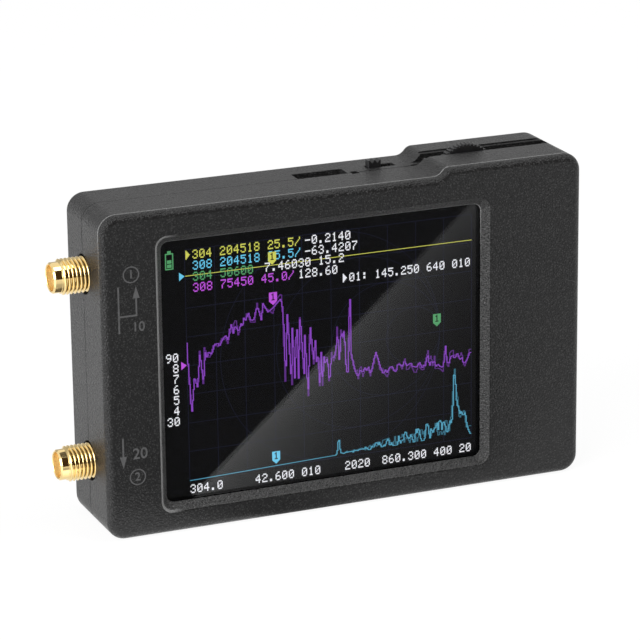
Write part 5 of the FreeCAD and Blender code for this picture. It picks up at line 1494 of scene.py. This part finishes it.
# ---- USB, switch, wheel
def sheet_tube(controls, x0, x1, y0, y1, z0, z1):
    """The pressed socket shell: an open-mouthed tube with round sides."""
    bend = (y1 - y0) / 2 - ALMOST_ROUND
    wall = controls.usb_wall
    tube = prism_shape("XY", z0, z1, box_corners(x0, x1, y0, y1), bend, 10)
    round_edges(tube, rim_edges(tube, "XY", z1), 0.12, 3)
    cavity = prism_shape("XY", z0 + wall, z1 + PAST, box_corners(
        x0 + wall, x1 - wall, y0 + wall, y1 - wall), bend - wall, 10)
    return tube, cavity


ALMOST_ROUND = 0.02  # how far the ends of the USB shapes fall short of a half round
LATCH_SIDE, LATCH_DOWN, LATCH_IN = 1.8, 1.6, 2.6  # latch windows: side, from the mouth, in
CONTACTS = 12  # contact pads on each side of the tongue
PAD_WIDE, PAD_THICK, PAD_PROUD = 0.26, 0.05, 0.02
PAD_FOOT, PAD_TIP = 0.6, 0.35  # the pads' ends, in from the blade's foot and tip


def make_usb_socket():
    """The USB socket: pressed shell, moulded tongue and its contacts."""
    controls = sizes("analyzer_controls")
    wall, foot = controls.usb_wall, controls.usb_foot
    x0, x1 = USB_LOW.x, USB_HIGH.x
    y0 = SEAM + sizes("analyzer_slots").usb_gap
    y1 = USB_HIGH.y
    tube, cavity = sheet_tube(controls, x0, x1, y0, y1, USB_LOW.z, USB_HIGH.z)
    middle = (y0 + y1) / 2
    feet = [block_shape(x, x + wall, BOARD_HIGH.y, middle, z, z + foot)
            for x in (x0, x1 - wall) for z in (USB_LOW.z + wall, BOARD_HIGH.z - foot * 2)]
    half = LATCH_SIDE / 2
    windows = [block_shape(x - half, x + half, y1 - PAST, y1 + PAST,
                           USB_HIGH.z - LATCH_DOWN - LATCH_SIDE, USB_HIGH.z - LATCH_DOWN)
               for x in (x0 + LATCH_IN, x1 - LATCH_IN)]
    piece(carve(tube, ("UNION", feet), ("DIFFERENCE", [cavity] + windows)),
          "usb_socket_shell",
          finish("dulled steel", (0.20, 0.195, 0.19), 0.42, 1.0, grain=0.1, depth=0.002,
                 mottle=1.5, spread_of=0.1), ["usb_shell"])

    half = controls.tongue_thick / 2
    blade_low = USB_LOW.z + wall + controls.usb_base_long
    blade = prism_shape("XZ", middle - half, middle + half, box_corners(
        x0 + controls.tongue_side, x1 - controls.tongue_side, blade_low - SUNK,
        TONGUE_HIGH.z), [0.0, 0.0, 0.5, 0.5], 4)
    round_edges(blade, rim_edges(blade, "XZ", middle - half)
                + rim_edges(blade, "XZ", middle + half), 0.1, 2)
    base = prism_shape("XY", TONGUE_LOW.z, blade_low, box_corners(
        TONGUE_LOW.x, TONGUE_HIGH.x, TONGUE_LOW.y, TONGUE_HIGH.y),
        (TONGUE_HIGH.y - TONGUE_LOW.y) / 2 - ALMOST_ROUND, 8)
    piece(carve(base, ("UNION", [blade])), "usb_socket_tongue",
          finish("tongue resin", (0.02, 0.02, 0.021), 0.45, grain=0.2, depth=0.006,
                 mottle=1.0), ["usb_tongue"])
    pads = bmesh.new()
    for index in range(CONTACTS):
        x = (x0 + x1) / 2 + (index - (CONTACTS - 1) / 2) * controls.contact_pitch
        for y in (middle - half - PAD_PROUD, middle + half + PAD_PROUD - PAD_THICK):
            add_prism(pads, "XY", blade_low + PAD_FOOT, TONGUE_HIGH.z - PAD_TIP,
                      box_corners(x - PAD_WIDE / 2, x + PAD_WIDE / 2, y, y + PAD_THICK))
    piece(pads, "usb_socket_contacts", gold_plate(), weighted=False)


def control_plastic():
    """Black plastic of the knob and the wheel."""
    return finish("control plastic", colour("control"), 0.40, grain=0.12, depth=0.005,
                  mottle=1.4, spread_of=0.2, rough_spread=0.07)


# shares of the knob's width: its sloped ends, the grooves off its middle, half its rib
KNOB_SLOPE, KNOB_GROOVE, KNOB_RIB = 0.11, 0.19, 0.03
KNOB_EDGE = 0.04  # how far the knob's corners lie below its top


def make_switch_knob():
    """The switch's knob: a grooved cap on a stem and the runner below it."""
    controls = sizes("analyzer_controls")
    case = sizes("analyzer_case")
    x0, x1 = KNOB_LOW.x, KNOB_HIGH.x
    y0, y1 = KNOB_LOW.y, KNOB_HIGH.y
    middle, centre_y = (x0 + x1) / 2, (y0 + y1) / 2
    shoulder = high_edge(case) - case.side_wall + controls.knob_gap
    top = KNOB_HIGH.z
    groove = top - controls.knob_groove
    wide = x1 - x0
    slope, valley, rib = wide * KNOB_SLOPE, wide * KNOB_GROOVE, wide * KNOB_RIB
    outline = [
        (x0, shoulder), (x1, shoulder), (x1, top - KNOB_EDGE), (x1 - slope, top),
        (middle + valley, groove), (middle + rib, top), (middle - rib, top),
        (middle - valley, groove), (x0 + slope, top), (x0, top - KNOB_EDGE),
    ]
    cap = prism_shape("XZ", y0, y1, outline,
                      [0.0, 0.0, 0.08, 0.08, 0.03, 0.04, 0.04, 0.03, 0.08, 0.08], 3)
    rounded = block_shape(x0, x1, y0, y1, shoulder, top + PAST, 0.3)
    half_wide = controls.knob_stem_wide / 2
    half_thick = controls.knob_stem_thick / 2
    stem = block_shape(middle - half_wide, middle + half_wide, centre_y - half_thick,
                       centre_y + half_thick, KNOB_LOW.z, shoulder + SUNK)
    runner = block_shape(x0, x1, y0, y1, KNOB_LOW.z, KNOB_LOW.z + controls.runner_high, 0.1)
    knob = carve(cap, ("INTERSECT", [rounded]), ("UNION", [stem]), ("UNION", [runner]))
    piece(knob, "power_knob", control_plastic(), ["switch_knob"],
          body="power_slider")


TOOTH_PITCH = math.radians(7.0)
TEETH = 15
TOOTH_MOUTH, TOOTH_ROOT = 0.42, 0.1  # half widths of a groove, as shares of the pitch
RIM_CUT = (52.0, 100.0, 180.0, 260.0, 308.0)  # turns, in degrees, of what is cut from the rim


def make_jog_wheel():
    """The thumb wheel: a toothed rim sector, thin web, hub and the tail below it."""
    controls = sizes("analyzer_controls")
    y0, y1 = WHEEL_LOW.y, WHEEL_HIGH.y
    centre = (JOG_AXIS.x, 0, JOG_AXIS.z)
    radius = controls.wheel_r
    inner = radius - controls.wheel_rim
    far = radius * 2.2

    def around(turn, out):
        """A point at a turn about the pivot and a distance out from it."""
        return centre[0] + math.sin(turn) * out, centre[2] + math.cos(turn) * out

    rim = turned_shape("Y", centre, [
        (y0, inner), (y0, radius - 0.1), (y0 + 0.03, radius - 0.03), (y0 + 0.1, radius),
        (y1 - 0.1, radius), (y1 - 0.03, radius - 0.03), (y1, radius - 0.1), (y1, inner)],
        180, True)
    mouth, root = radius + 0.12, radius - controls.tooth_deep
    at_mouth, at_root = TOOTH_PITCH * TOOTH_MOUTH, TOOTH_PITCH * TOOTH_ROOT
    notches = [prism_shape("XZ", y0 - 0.5, y1 + 0.5, [
        around(turn - at_mouth, mouth), around(turn + at_mouth, mouth),
        around(turn + at_root, root), around(turn - at_root, root)])
        for turn in ((index - TEETH // 2) * TOOTH_PITCH for index in range(TEETH))]
    trim = prism_shape("XZ", y0 - PAST, y1 + PAST, [around(0.0, 0.0)] + [
        around(math.radians(degrees), far) for degrees in RIM_CUT])
    middle = (y0 + y1) / 2
    web_half = controls.wheel_web / 2
    web = turned_shape("Y", centre, rod(middle - web_half, middle + web_half, inner + 0.2), 85)
    hub = turned_shape("Y", centre, rod(y0, y1, controls.wheel_hub_r), 48)
    bore = turned_shape("Y", centre, rod(y0 - PAST, y1 + PAST, controls.wheel_bore_r), 48)
    half_tail = controls.wheel_tail_wide / 2
    tail = block_shape(centre[0] - half_tail, centre[0] + half_tail, y0 + 0.02, y1 - 0.02,
                       centre[2] - controls.wheel_tail_long, centre[2] - 1.0)
    wheel = carve(rim, ("UNION", [web]), ("DIFFERENCE", [trim]), ("UNION", [hub]),
                  ("UNION", [tail]), ("DIFFERENCE", [bore]), ("DIFFERENCE", notches))
    piece(wheel, "jog_thumb_wheel", control_plastic(), ["jog_wheel"],
          body="jog_rocker")


def spring_wire():
    """Bright drawn spring wire."""
    return finish("spring wire", (0.55, 0.55, 0.54), 0.22, 1.0, grain=0.05, depth=0.001,
                  mottle=0.3)


def make_push_spring():
    """The coil under the jog carriage."""
    controls = sizes("analyzer_controls")
    low, high = node_box("jog_push_spring")
    centre = (low + high) / 2
    wire = controls.spring_wire_r
    start = low.z + wire
    turns, steps = 5, 28
    climb = (high.z - wire - start) / turns
    bm = bmesh.new()
    bmesh.ops.create_circle(bm, cap_ends=False, radius=wire, segments=8)
    stand_up(bm, centre.x + controls.spring_r, start, centre.y)
    bmesh.ops.spin(bm, geom=bm.verts[:] + bm.edges[:], cent=(centre.x, centre.y, 0),
                   axis=(0, 0, 1), dvec=(0, 0, climb / steps), angle=math.tau * turns,
                   steps=steps * turns, use_duplicate=False)
    fill_ends(bm)
    spring = piece(bm, "push_coil_spring", spring_wire(),
                   ["jog_push_spring"], weighted=False)
    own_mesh(spring)


# the bend at the head of a centring wire: out from beside the tail, down from the top
WIRE_BEND = ((0.75, 0.0), (0.56, 0.03), (0.42, 0.12), (0.34, 0.26), (0.12, 0.9), (0.0, 1.25))


def make_centring_spring():
    """The two sprung wires that stand beside the wheel's tail."""
    controls = sizes("analyzer_controls")
    low, high = node_box("jog_centring_spring")
    y = (low.y + high.y) / 2
    wire = (high.y - low.y) / 2 - 0.01
    beside = controls.wheel_tail_wide / 2 + controls.wire_gap + wire
    top = high.z - wire
    wires = []
    for sense, end in ((-1, low.x), (1, high.x)):
        x = JOG_AXIS.x + sense * beside
        bend = [(x + sense * out, y, top - down) for out, down in WIRE_BEND]
        wires.append(bent_wire([(end - sense * 0.01, y, top), *bend, (x, y, low.z + 0.01)],
                               wire))
    spring = piece(joined(wires), "centring_wires", spring_wire(),
                   ["jog_centring_spring"], body=None, weighted=False)
    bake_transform(spring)


# ---- carried-over CAD nodes
@functools.cache
def board_laminate():
    """Black solder mask with faint raised copper tracks."""
    material, tree = new_material("board laminate")
    turned = add_node(tree, "ShaderNodeMapping", {
        "Vector": object_place(tree), "Rotation": (math.radians(90), 0, 0)})
    tracks = add_node(tree, "ShaderNodeTexBrick", {
        "Vector": turned.outputs["Vector"], "Scale": 1.0 / (4.0 * MM), "Mortar Size": 0.06,
        "Mortar Smooth": 0.3, "Color1": (0.0, 0.0, 0.0, 1.0), "Color2": (0.1, 0.1, 0.1, 1.0),
        "Mortar": (1.0, 1.0, 1.0, 1.0)}).outputs["Color"]
    base = mix_colour(tree, tracks, (0.006, 0.007, 0.006, 1.0), (0.02, 0.022, 0.018, 1.0))
    coat(tree, {"Base Color": base, "Roughness": 0.28,
                "Normal": bumps(tree, tracks, 0.03 * MM, 0.6)})
    return material


@functools.cache
def tail_film():
    """Amber flexible film with copper conductors along it."""
    material, tree = new_material("tail film")
    base = mix_colour(tree, bands_up(tree, 0.7 * MM), (0.42, 0.19, 0.03, 1.0),
                      (0.62, 0.33, 0.09, 1.0))
    coat(tree, {"Base Color": base, "Roughness": 0.3})
    return material


# slots of the CAD pieces that stay: colour, roughness, metallic, grain, depth, mottle
INNER_FINISHES = {
    "tray_plastic": ((0.80, 0.80, 0.78), 0.45, 0.0, 0.3, 0.004, 8.0),
    "black_foam": ((0.012, 0.012, 0.012), 0.9, 0.0, 0.12, 0.05, 1.0),
    "socket_plastic": ((0.78, 0.74, 0.64), 0.5, 0.0, 0.2, 0.006, 2.0),
    "chip_plastic": ((0.016, 0.016, 0.017), 0.55, 0.0, 0.08, 0.006, 1.2),
    "pouch_foil": ((0.70, 0.70, 0.71), 0.36, 0.9, 2.2, 0.05, 6.0),
    "red_sleeve": ((0.50, 0.015, 0.012), 0.45, 0.0, 0.3, 0.006, 1.5),
    "black_sleeve": ((0.014, 0.014, 0.014), 0.45, 0.0, 0.3, 0.006, 1.5),
    "ferrite": ((0.05, 0.05, 0.052), 0.6, 0.0, 0.15, 0.012, 1.0),
    "light_body": ((0.82, 0.80, 0.66), 0.2, 0.0, 0.4, 0.002, 0.8),
}
OWN_FINISHES = {
    "display_black": display_black, "control_plastic": control_plastic,
    "board_laminate": board_laminate, "tail_film": tail_film,
}


def slot_finish(slot):
    """The finish of a slot whose CAD pieces are still shown."""
    if slot in OWN_FINISHES:
        return OWN_FINISHES[slot]()
    if slot == "plated_steel":
        return finish("plated steel", colour("steel"), 0.3, 1.0, 0.1, 0.002, 1.5)
    return finish(slot.replace("_", " "), *INNER_FINISHES[slot])


def dress_inner_parts():
    """Give every CAD node that is still shown the finish of its slot."""
    slots = {row["node"]: row["material_slot"] for row in frame["record"]["subparts"]}
    for name, thing in frame["nodes"].items():
        if thing.hide_render:
            continue
        thing.data.materials.clear()
        thing.data.materials.append(slot_finish(slots[name]))


# ---- stage
# the camera, in millimetres and degrees
CAMERA_PLACE = Vector((-218.64, -530.41, 211.24))
CAMERA_YAW, CAMERA_PITCH, CAMERA_ROLL = 22.259, -17.362, -0.684
CAMERA_LENS, SENSOR = 190.67, 36.0
# two places on the display, across and up, that the glare's edge runs through
GLARE_HIGH = (23.8, 52.0)
GLARE_LOW = (-26.4, 8.25)
GLARE_UP = 0.3  # the card's height
GLARE_EDGE, GLARE_HALVED = 0.15, 8.5  # softness of its edge, depth where its light is halved
GLARE_LIGHT, GLARE_REACH = (0.60, 0.27), (20.0, 150.0)  # light at two places along it
GLARE_LEAST = 0.05
# walls that only reflections show: half width, then foot and top of the dark one, as (y, z)
DARK_HALF, DARK_FOOT, DARK_TOP = 2500.0, (-1250.0, -1.0), (-700.0, 1700.0)
DARK_LIGHT = (0.055, 0.034, 0.018)
BACK_WALL_Y, BACK_WALL = 1400.0, (-2500.0, 3500.0, -1.0, 720.0)
BACK_LIGHT = (0.54, 0.54, 0.54)
WHITE = 1.06  # light of a floor that shows as pure white
AMBIENT = 0.4
# soft lamps: place and target in metres, width, height, watts
LAMPS = {
    "key": ((-0.75, -0.6, 0.75), (0, 0, 0.03), 0.7, 0.7, 7.0),
    "left": ((-1.15, -0.3, 0.3), (-0.05, 0, 0.03), 0.7, 0.6, 7.5),
    "overhead": ((0.38, -0.2, 1.0), (0, 0, 0.03), 0.5, 0.5, 3.5),
}
# light of the floor in reflections, by how far round the front it lies
FLOOR_LIGHT = ((0.0, 1.0), (0.14, 1.0), (0.19, 0.22), (0.36, 0.27), (0.42, 0.44),
               (0.53, 0.49), (0.67, 0.66), (0.78, 0.70))


def make_camera():
    """The camera at its fitted place."""
    yaw, pitch, roll = (math.radians(angle) for angle in (CAMERA_YAW, CAMERA_PITCH,
                                                          CAMERA_ROLL))
    forward = Vector((math.sin(yaw) * math.cos(pitch), math.cos(yaw) * math.cos(pitch),
                      math.sin(pitch)))
    right = forward.cross(Vector((0, 0, 1))).normalized()
    up = right.cross(forward)
    right_rolled = right * math.cos(roll) + up * math.sin(roll)
    up_rolled = up * math.cos(roll) - right * math.sin(roll)
    data = bpy.data.cameras.new("camera")
    data.lens = CAMERA_LENS
    data.sensor_width = SENSOR
    data.clip_start = 0.01
    data.clip_end = 20.0
    camera = bpy.data.objects.new("camera", data)
    bpy.context.scene.collection.objects.link(camera)
    turn = Matrix((right_rolled, up_rolled, -forward)).transposed()
    camera.matrix_world = Matrix.Translation(CAMERA_PLACE * MM) @ turn.to_4x4()
    bpy.context.scene.camera = camera


def seen_ray(tree):
    """One where a ray comes from the camera, a reflection or glass, else zero."""
    rays = add_node(tree, "ShaderNodeLightPath").outputs
    first = calculate(tree, "MAXIMUM", rays["Is Camera Ray"], rays["Is Glossy Ray"])
    return calculate(tree, "MAXIMUM", first, rays["Is Transmission Ray"])


def make_world(ambient):
    """White where it is seen, soft ambient light elsewhere."""
    world = bpy.data.worlds.new("studio")
    bpy.context.scene.world = world
    world.use_nodes = True
    tree = world.node_tree
    tree.nodes.clear()
    soft, white = [add_node(tree, "ShaderNodeBackground", {
        "Color": (1, 1, 1, 1), "Strength": strength}).outputs[0] for strength in (ambient, 1.0)]
    mixed = add_node(tree, "ShaderNodeMixShader", {0: seen_ray(tree), 1: soft, 2: white})
    add_node(tree, "ShaderNodeOutputWorld", {"Surface": mixed.outputs[0]})


def stage_piece(bm, name, material):
    """A stage object in millimetres that isn't part of the analyzer."""
    thing = linked(bm, name, material)
    return thing


def reflection_only(thing):
    """Show a stage object in reflections alone."""
    for ray in ("camera", "diffuse", "volume_scatter", "shadow"):
        setattr(thing, "visible_" + ray, False)


def make_floor():
    """A white floor that keeps a faint shadow and is dimmer in reflections ahead."""
    material, tree = new_material("floor")
    matt = add_node(tree, "ShaderNodeBsdfDiffuse", {"Color": (0.8, 0.8, 0.8, 1)})
    axes = parts_of(tree, object_place(tree))
    angle = calculate(tree, "ARCTAN2", axes["Y"], axes["X"])
    ramp = add_node(tree, "ShaderNodeValToRGB", {
        "Fac": spread(tree, angle, 0.0, 1.0, -math.pi, 0.0)})
    stops = ramp.color_ramp.elements
    stops[0].position = FLOOR_LIGHT[0][0]
    stops[1].position = FLOOR_LIGHT[-1][0]
    for position, _ in FLOOR_LIGHT[1:-1]:
        stops.new(position)
    for stop, (_, grey) in zip(stops, FLOOR_LIGHT):
        stop.color = (grey, grey, grey, 1)
    round_level = calculate(tree, "MULTIPLY", ramp.outputs["Color"], 2.0)
    ahead = spread(tree, axes["Y"], round_level, WHITE, -0.012, 0.0)
    rays = add_node(tree, "ShaderNodeLightPath").outputs
    level = spread(tree, rays["Is Camera Ray"], ahead, WHITE, 0.0, 1.0)
    lit = add_node(tree, "ShaderNodeEmission", {"Color": (1, 1, 1, 1), "Strength": level})
    share = calculate(tree, "MULTIPLY", seen_ray(tree), 0.86)
    mixed = add_node(tree, "ShaderNodeMixShader", {
        0: share, 1: matt.outputs[0], 2: lit.outputs[0]})
    add_node(tree, "ShaderNodeOutputMaterial", {"Surface": mixed.outputs[0]})
    bm = bmesh.new()
    bmesh.ops.create_grid(bm, x_segments=1, y_segments=1, size=3000.0)
    bmesh.ops.translate(bm, verts=bm.verts[:], vec=(0, 0, -0.02))
    stage_piece(bm, "floor", material)


def glare_on_floor(x, z):
    """Where the card's level shows in the display at a place on it."""
    mirror = Vector((CAMERA_PLACE.x, 2 * CELL_LOW.y - CAMERA_PLACE.y, CAMERA_PLACE.z))
    ray = Vector((x, CELL_LOW.y, z)) - mirror
    return mirror + ray * ((GLARE_UP - mirror.z) / ray.z)


def make_glare_card():
    """A card by the foot of the case that the display alone reflects, as a slanting glare."""
    first = glare_on_floor(*GLARE_LOW)
    second = glare_on_floor(*GLARE_HIGH)
    along = (second - first).normalized()
    across = Vector((-along.y, along.x, 0))
    if across.y < 0:
        across.negate()
    material, tree = new_material("glare card")
    away = add_node(tree, "ShaderNodeVectorMath", {
        0: object_place(tree), 1: tuple(first * MM)}, operation="SUBTRACT")

    def distance(direction):
        """How far a point lies along a direction from the glare's first corner."""
        dot = add_node(tree, "ShaderNodeVectorMath", {
            0: away.outputs["Vector"], 1: tuple(direction / MM)}, operation="DOT_PRODUCT")
        return dot.outputs["Value"]

    depth = distance(across)
    edge = spread(tree, depth, 0.0, 1.0, -GLARE_EDGE, GLARE_EDGE)
    fade = calculate(tree, "POWER", 0.5, calculate(tree, "DIVIDE", depth, GLARE_HALVED))
    level = spread(tree, distance(along), *GLARE_LIGHT, *GLARE_REACH)
    shown = calculate(tree, "MULTIPLY", calculate(tree, "MULTIPLY", fade, level), edge)
    glow_evenly(tree, (1.0, 1.0, 1.0), calculate(tree, "ADD", shown, GLARE_LEAST))
    bm = bmesh.new()
    x0, x1, z0, z1, _ = window_rectangle(sizes("analyzer_case"), 0.5)
    corners = [glare_on_floor(x, z) for x, z in box_corners(x0, x1 + 0.6, z0, z1)]
    add_outline(bm, "XY", GLARE_UP, [(corner.x, corner.y) for corner in corners])
    reflection_only(stage_piece(bm, "glare_card", material))


def make_lit_wall(bm, name, rgb):
    """A wall that only reflections show, glowing with one colour."""
    material, tree = new_material(name.replace("_", " "))
    glow_evenly(tree, rgb, 1.0)
    reflection_only(stage_piece(bm, name, material))


def make_dark_front():
    """A dark wall leaning over the front, from the horizon up, that reflections show."""
    bm = bmesh.new()
    made = bmesh.ops.create_grid(bm, x_segments=1, y_segments=1, size=1.0)
    for vert in made["verts"]:
        vert.co = (vert.co.x * DARK_HALF, *(DARK_TOP if vert.co.y > 0 else DARK_FOOT))
    make_lit_wall(bm, "dark_front", DARK_LIGHT)


def make_back_wall():
    """A grey wall low behind the case that grazing reflections show."""
    bm = bmesh.new()
    add_outline(bm, "XZ", BACK_WALL_Y, box_corners(*BACK_WALL))
    make_lit_wall(bm, "back_wall", BACK_LIGHT)


def add_softbox(name, place, target, wide, high, watts):
    """A soft rectangular lamp aimed at a point."""
    data = bpy.data.lights.new(name, "AREA")
    data.shape = "RECTANGLE"
    data.size = wide
    data.size_y = high
    data.energy = watts
    lamp = bpy.data.objects.new(name, data)
    bpy.context.scene.collection.objects.link(lamp)
    lamp.location = place
    lamp.rotation_euler = (Vector(target) - Vector(place)).to_track_quat("-Z", "Y").to_euler()


def make_stage():
    """Camera, world, floor, reflected walls and lamps."""
    make_camera()
    make_world(AMBIENT)
    make_floor()
    make_glare_card()
    make_dark_front()
    make_back_wall()
    for name, settings in LAMPS.items():
        add_softbox(name, *settings)
    bpy.context.scene.view_settings.view_transform = "Standard"


# ---- operators
class StageOperator(bpy.types.Operator):
    """Set up the floor, the cards, the lamps and the camera"""

    bl_idname = "analyzer.stage"
    bl_label = "Stage"

    def execute(self, context):
        make_stage()
        return {"FINISHED"}


class FrontShellOperator(bpy.types.Operator):
    """Mould the front shell with its window, slots and filled markings"""

    bl_idname = "analyzer.front_shell"
    bl_label = "Front shell"

    def execute(self, context):
        make_front_shell()
        return {"FINISHED"}


class RearShellOperator(bpy.types.Operator):
    """Mould the rear shell with its lip, screw wells and top openings"""

    bl_idname = "analyzer.rear_shell"
    bl_label = "Rear shell"

    def execute(self, context):
        make_rear_shell()
        return {"FINISHED"}


class ScrewsOperator(bpy.types.Operator):
    """Turn the four cross-head case screws"""

    bl_idname = "analyzer.case_screws"
    bl_label = "Case screws"

    def execute(self, context):
        make_case_screws()
        return {"FINISHED"}


class TouchPanelOperator(bpy.types.Operator):
    """Cut the clear touch panel"""

    bl_idname = "analyzer.touch_panel"
    bl_label = "Touch panel"

    def execute(self, context):
        make_touch_panel()
        return {"FINISHED"}


class ScreenOperator(bpy.types.Operator):
    """Light the plot grid, traces and readouts of the display"""

    bl_idname = "analyzer.screen"
    bl_label = "Screen"

    def execute(self, context):
        screen = sizes("analyzer_screen")
        make_plot_grid(screen)
        make_traces(screen)
        make_readouts(screen)
        return {"FINISHED"}


class PortsOperator(bpy.types.Operator):
    """Turn both threaded ports with their insulators and contacts"""

    bl_idname = "analyzer.ports"
    bl_label = "Ports"

    def execute(self, context):
        for number in PORT_HEIGHTS:
            make_port(number)
        return {"FINISHED"}


class UsbSocketOperator(bpy.types.Operator):
    """Press the USB socket and mould its tongue"""

    bl_idname = "analyzer.usb_socket"
    bl_label = "USB socket"

    def execute(self, context):
        make_usb_socket()
        return {"FINISHED"}


class SwitchKnobOperator(bpy.types.Operator):
    """Mould the knob of the slide switch"""

    bl_idname = "analyzer.switch_knob"
    bl_label = "Switch knob"

    def execute(self, context):
        make_switch_knob()
        return {"FINISHED"}


class JogWheelOperator(bpy.types.Operator):
    """Mould the grooved jog wheel"""

    bl_idname = "analyzer.jog_wheel"
    bl_label = "Jog wheel"

    def execute(self, context):
        make_jog_wheel()
        return {"FINISHED"}


class SpringsOperator(bpy.types.Operator):
    """Wind the push spring and bend the centring wires of the jog wheel"""

    bl_idname = "analyzer.springs"
    bl_label = "Springs"

    def execute(self, context):
        make_push_spring()
        make_centring_spring()
        return {"FINISHED"}


class InnerPartsOperator(bpy.types.Operator):
    """Give the CAD pieces that stay their finishes"""

    bl_idname = "analyzer.inner_parts"
    bl_label = "Inner parts"

    def execute(self, context):
        dress_inner_parts()
        return {"FINISHED"}


OPERATORS = (StageOperator, FrontShellOperator, RearShellOperator, ScrewsOperator,
             TouchPanelOperator, ScreenOperator, PortsOperator, UsbSocketOperator,
             SwitchKnobOperator, JogWheelOperator, SpringsOperator, InnerPartsOperator)


class AnalyzerPanel(bpy.types.Panel):
    """Lists the pieces of the analyzer and their sizes"""

    bl_idname = "VIEW3D_PT_analyzer"
    bl_label = "Antenna analyzer"
    bl_space_type = "VIEW_3D"
    bl_region_type = "UI"
    bl_category = "Analyzer"

    def draw(self, context):
        for operator in OPERATORS:
            self.layout.operator(operator.bl_idname)
        for name, group in GROUPS.items():
            box = self.layout.box()
            box.label(text=group.__doc__)
            for value in group.__annotations__:
                box.prop(getattr(context.scene, name), value)


CLASSES = (*GROUPS.values(), *OPERATORS, AnalyzerPanel)


def register():
    for item in CLASSES:
        bpy.utils.register_class(item)
    for name, group in GROUPS.items():
        setattr(bpy.types.Scene, name, bpy.props.PointerProperty(type=group))


def unregister():
    for name in GROUPS:
        delattr(bpy.types.Scene, name)
    for item in reversed(CLASSES):
        bpy.utils.unregister_class(item)


def main():
    """Build every piece."""
    register()
    for operator in OPERATORS:
        family, name = operator.bl_idname.split(".")
        getattr(getattr(bpy.ops, family), name)()


if __name__ == "__main__":
    main()
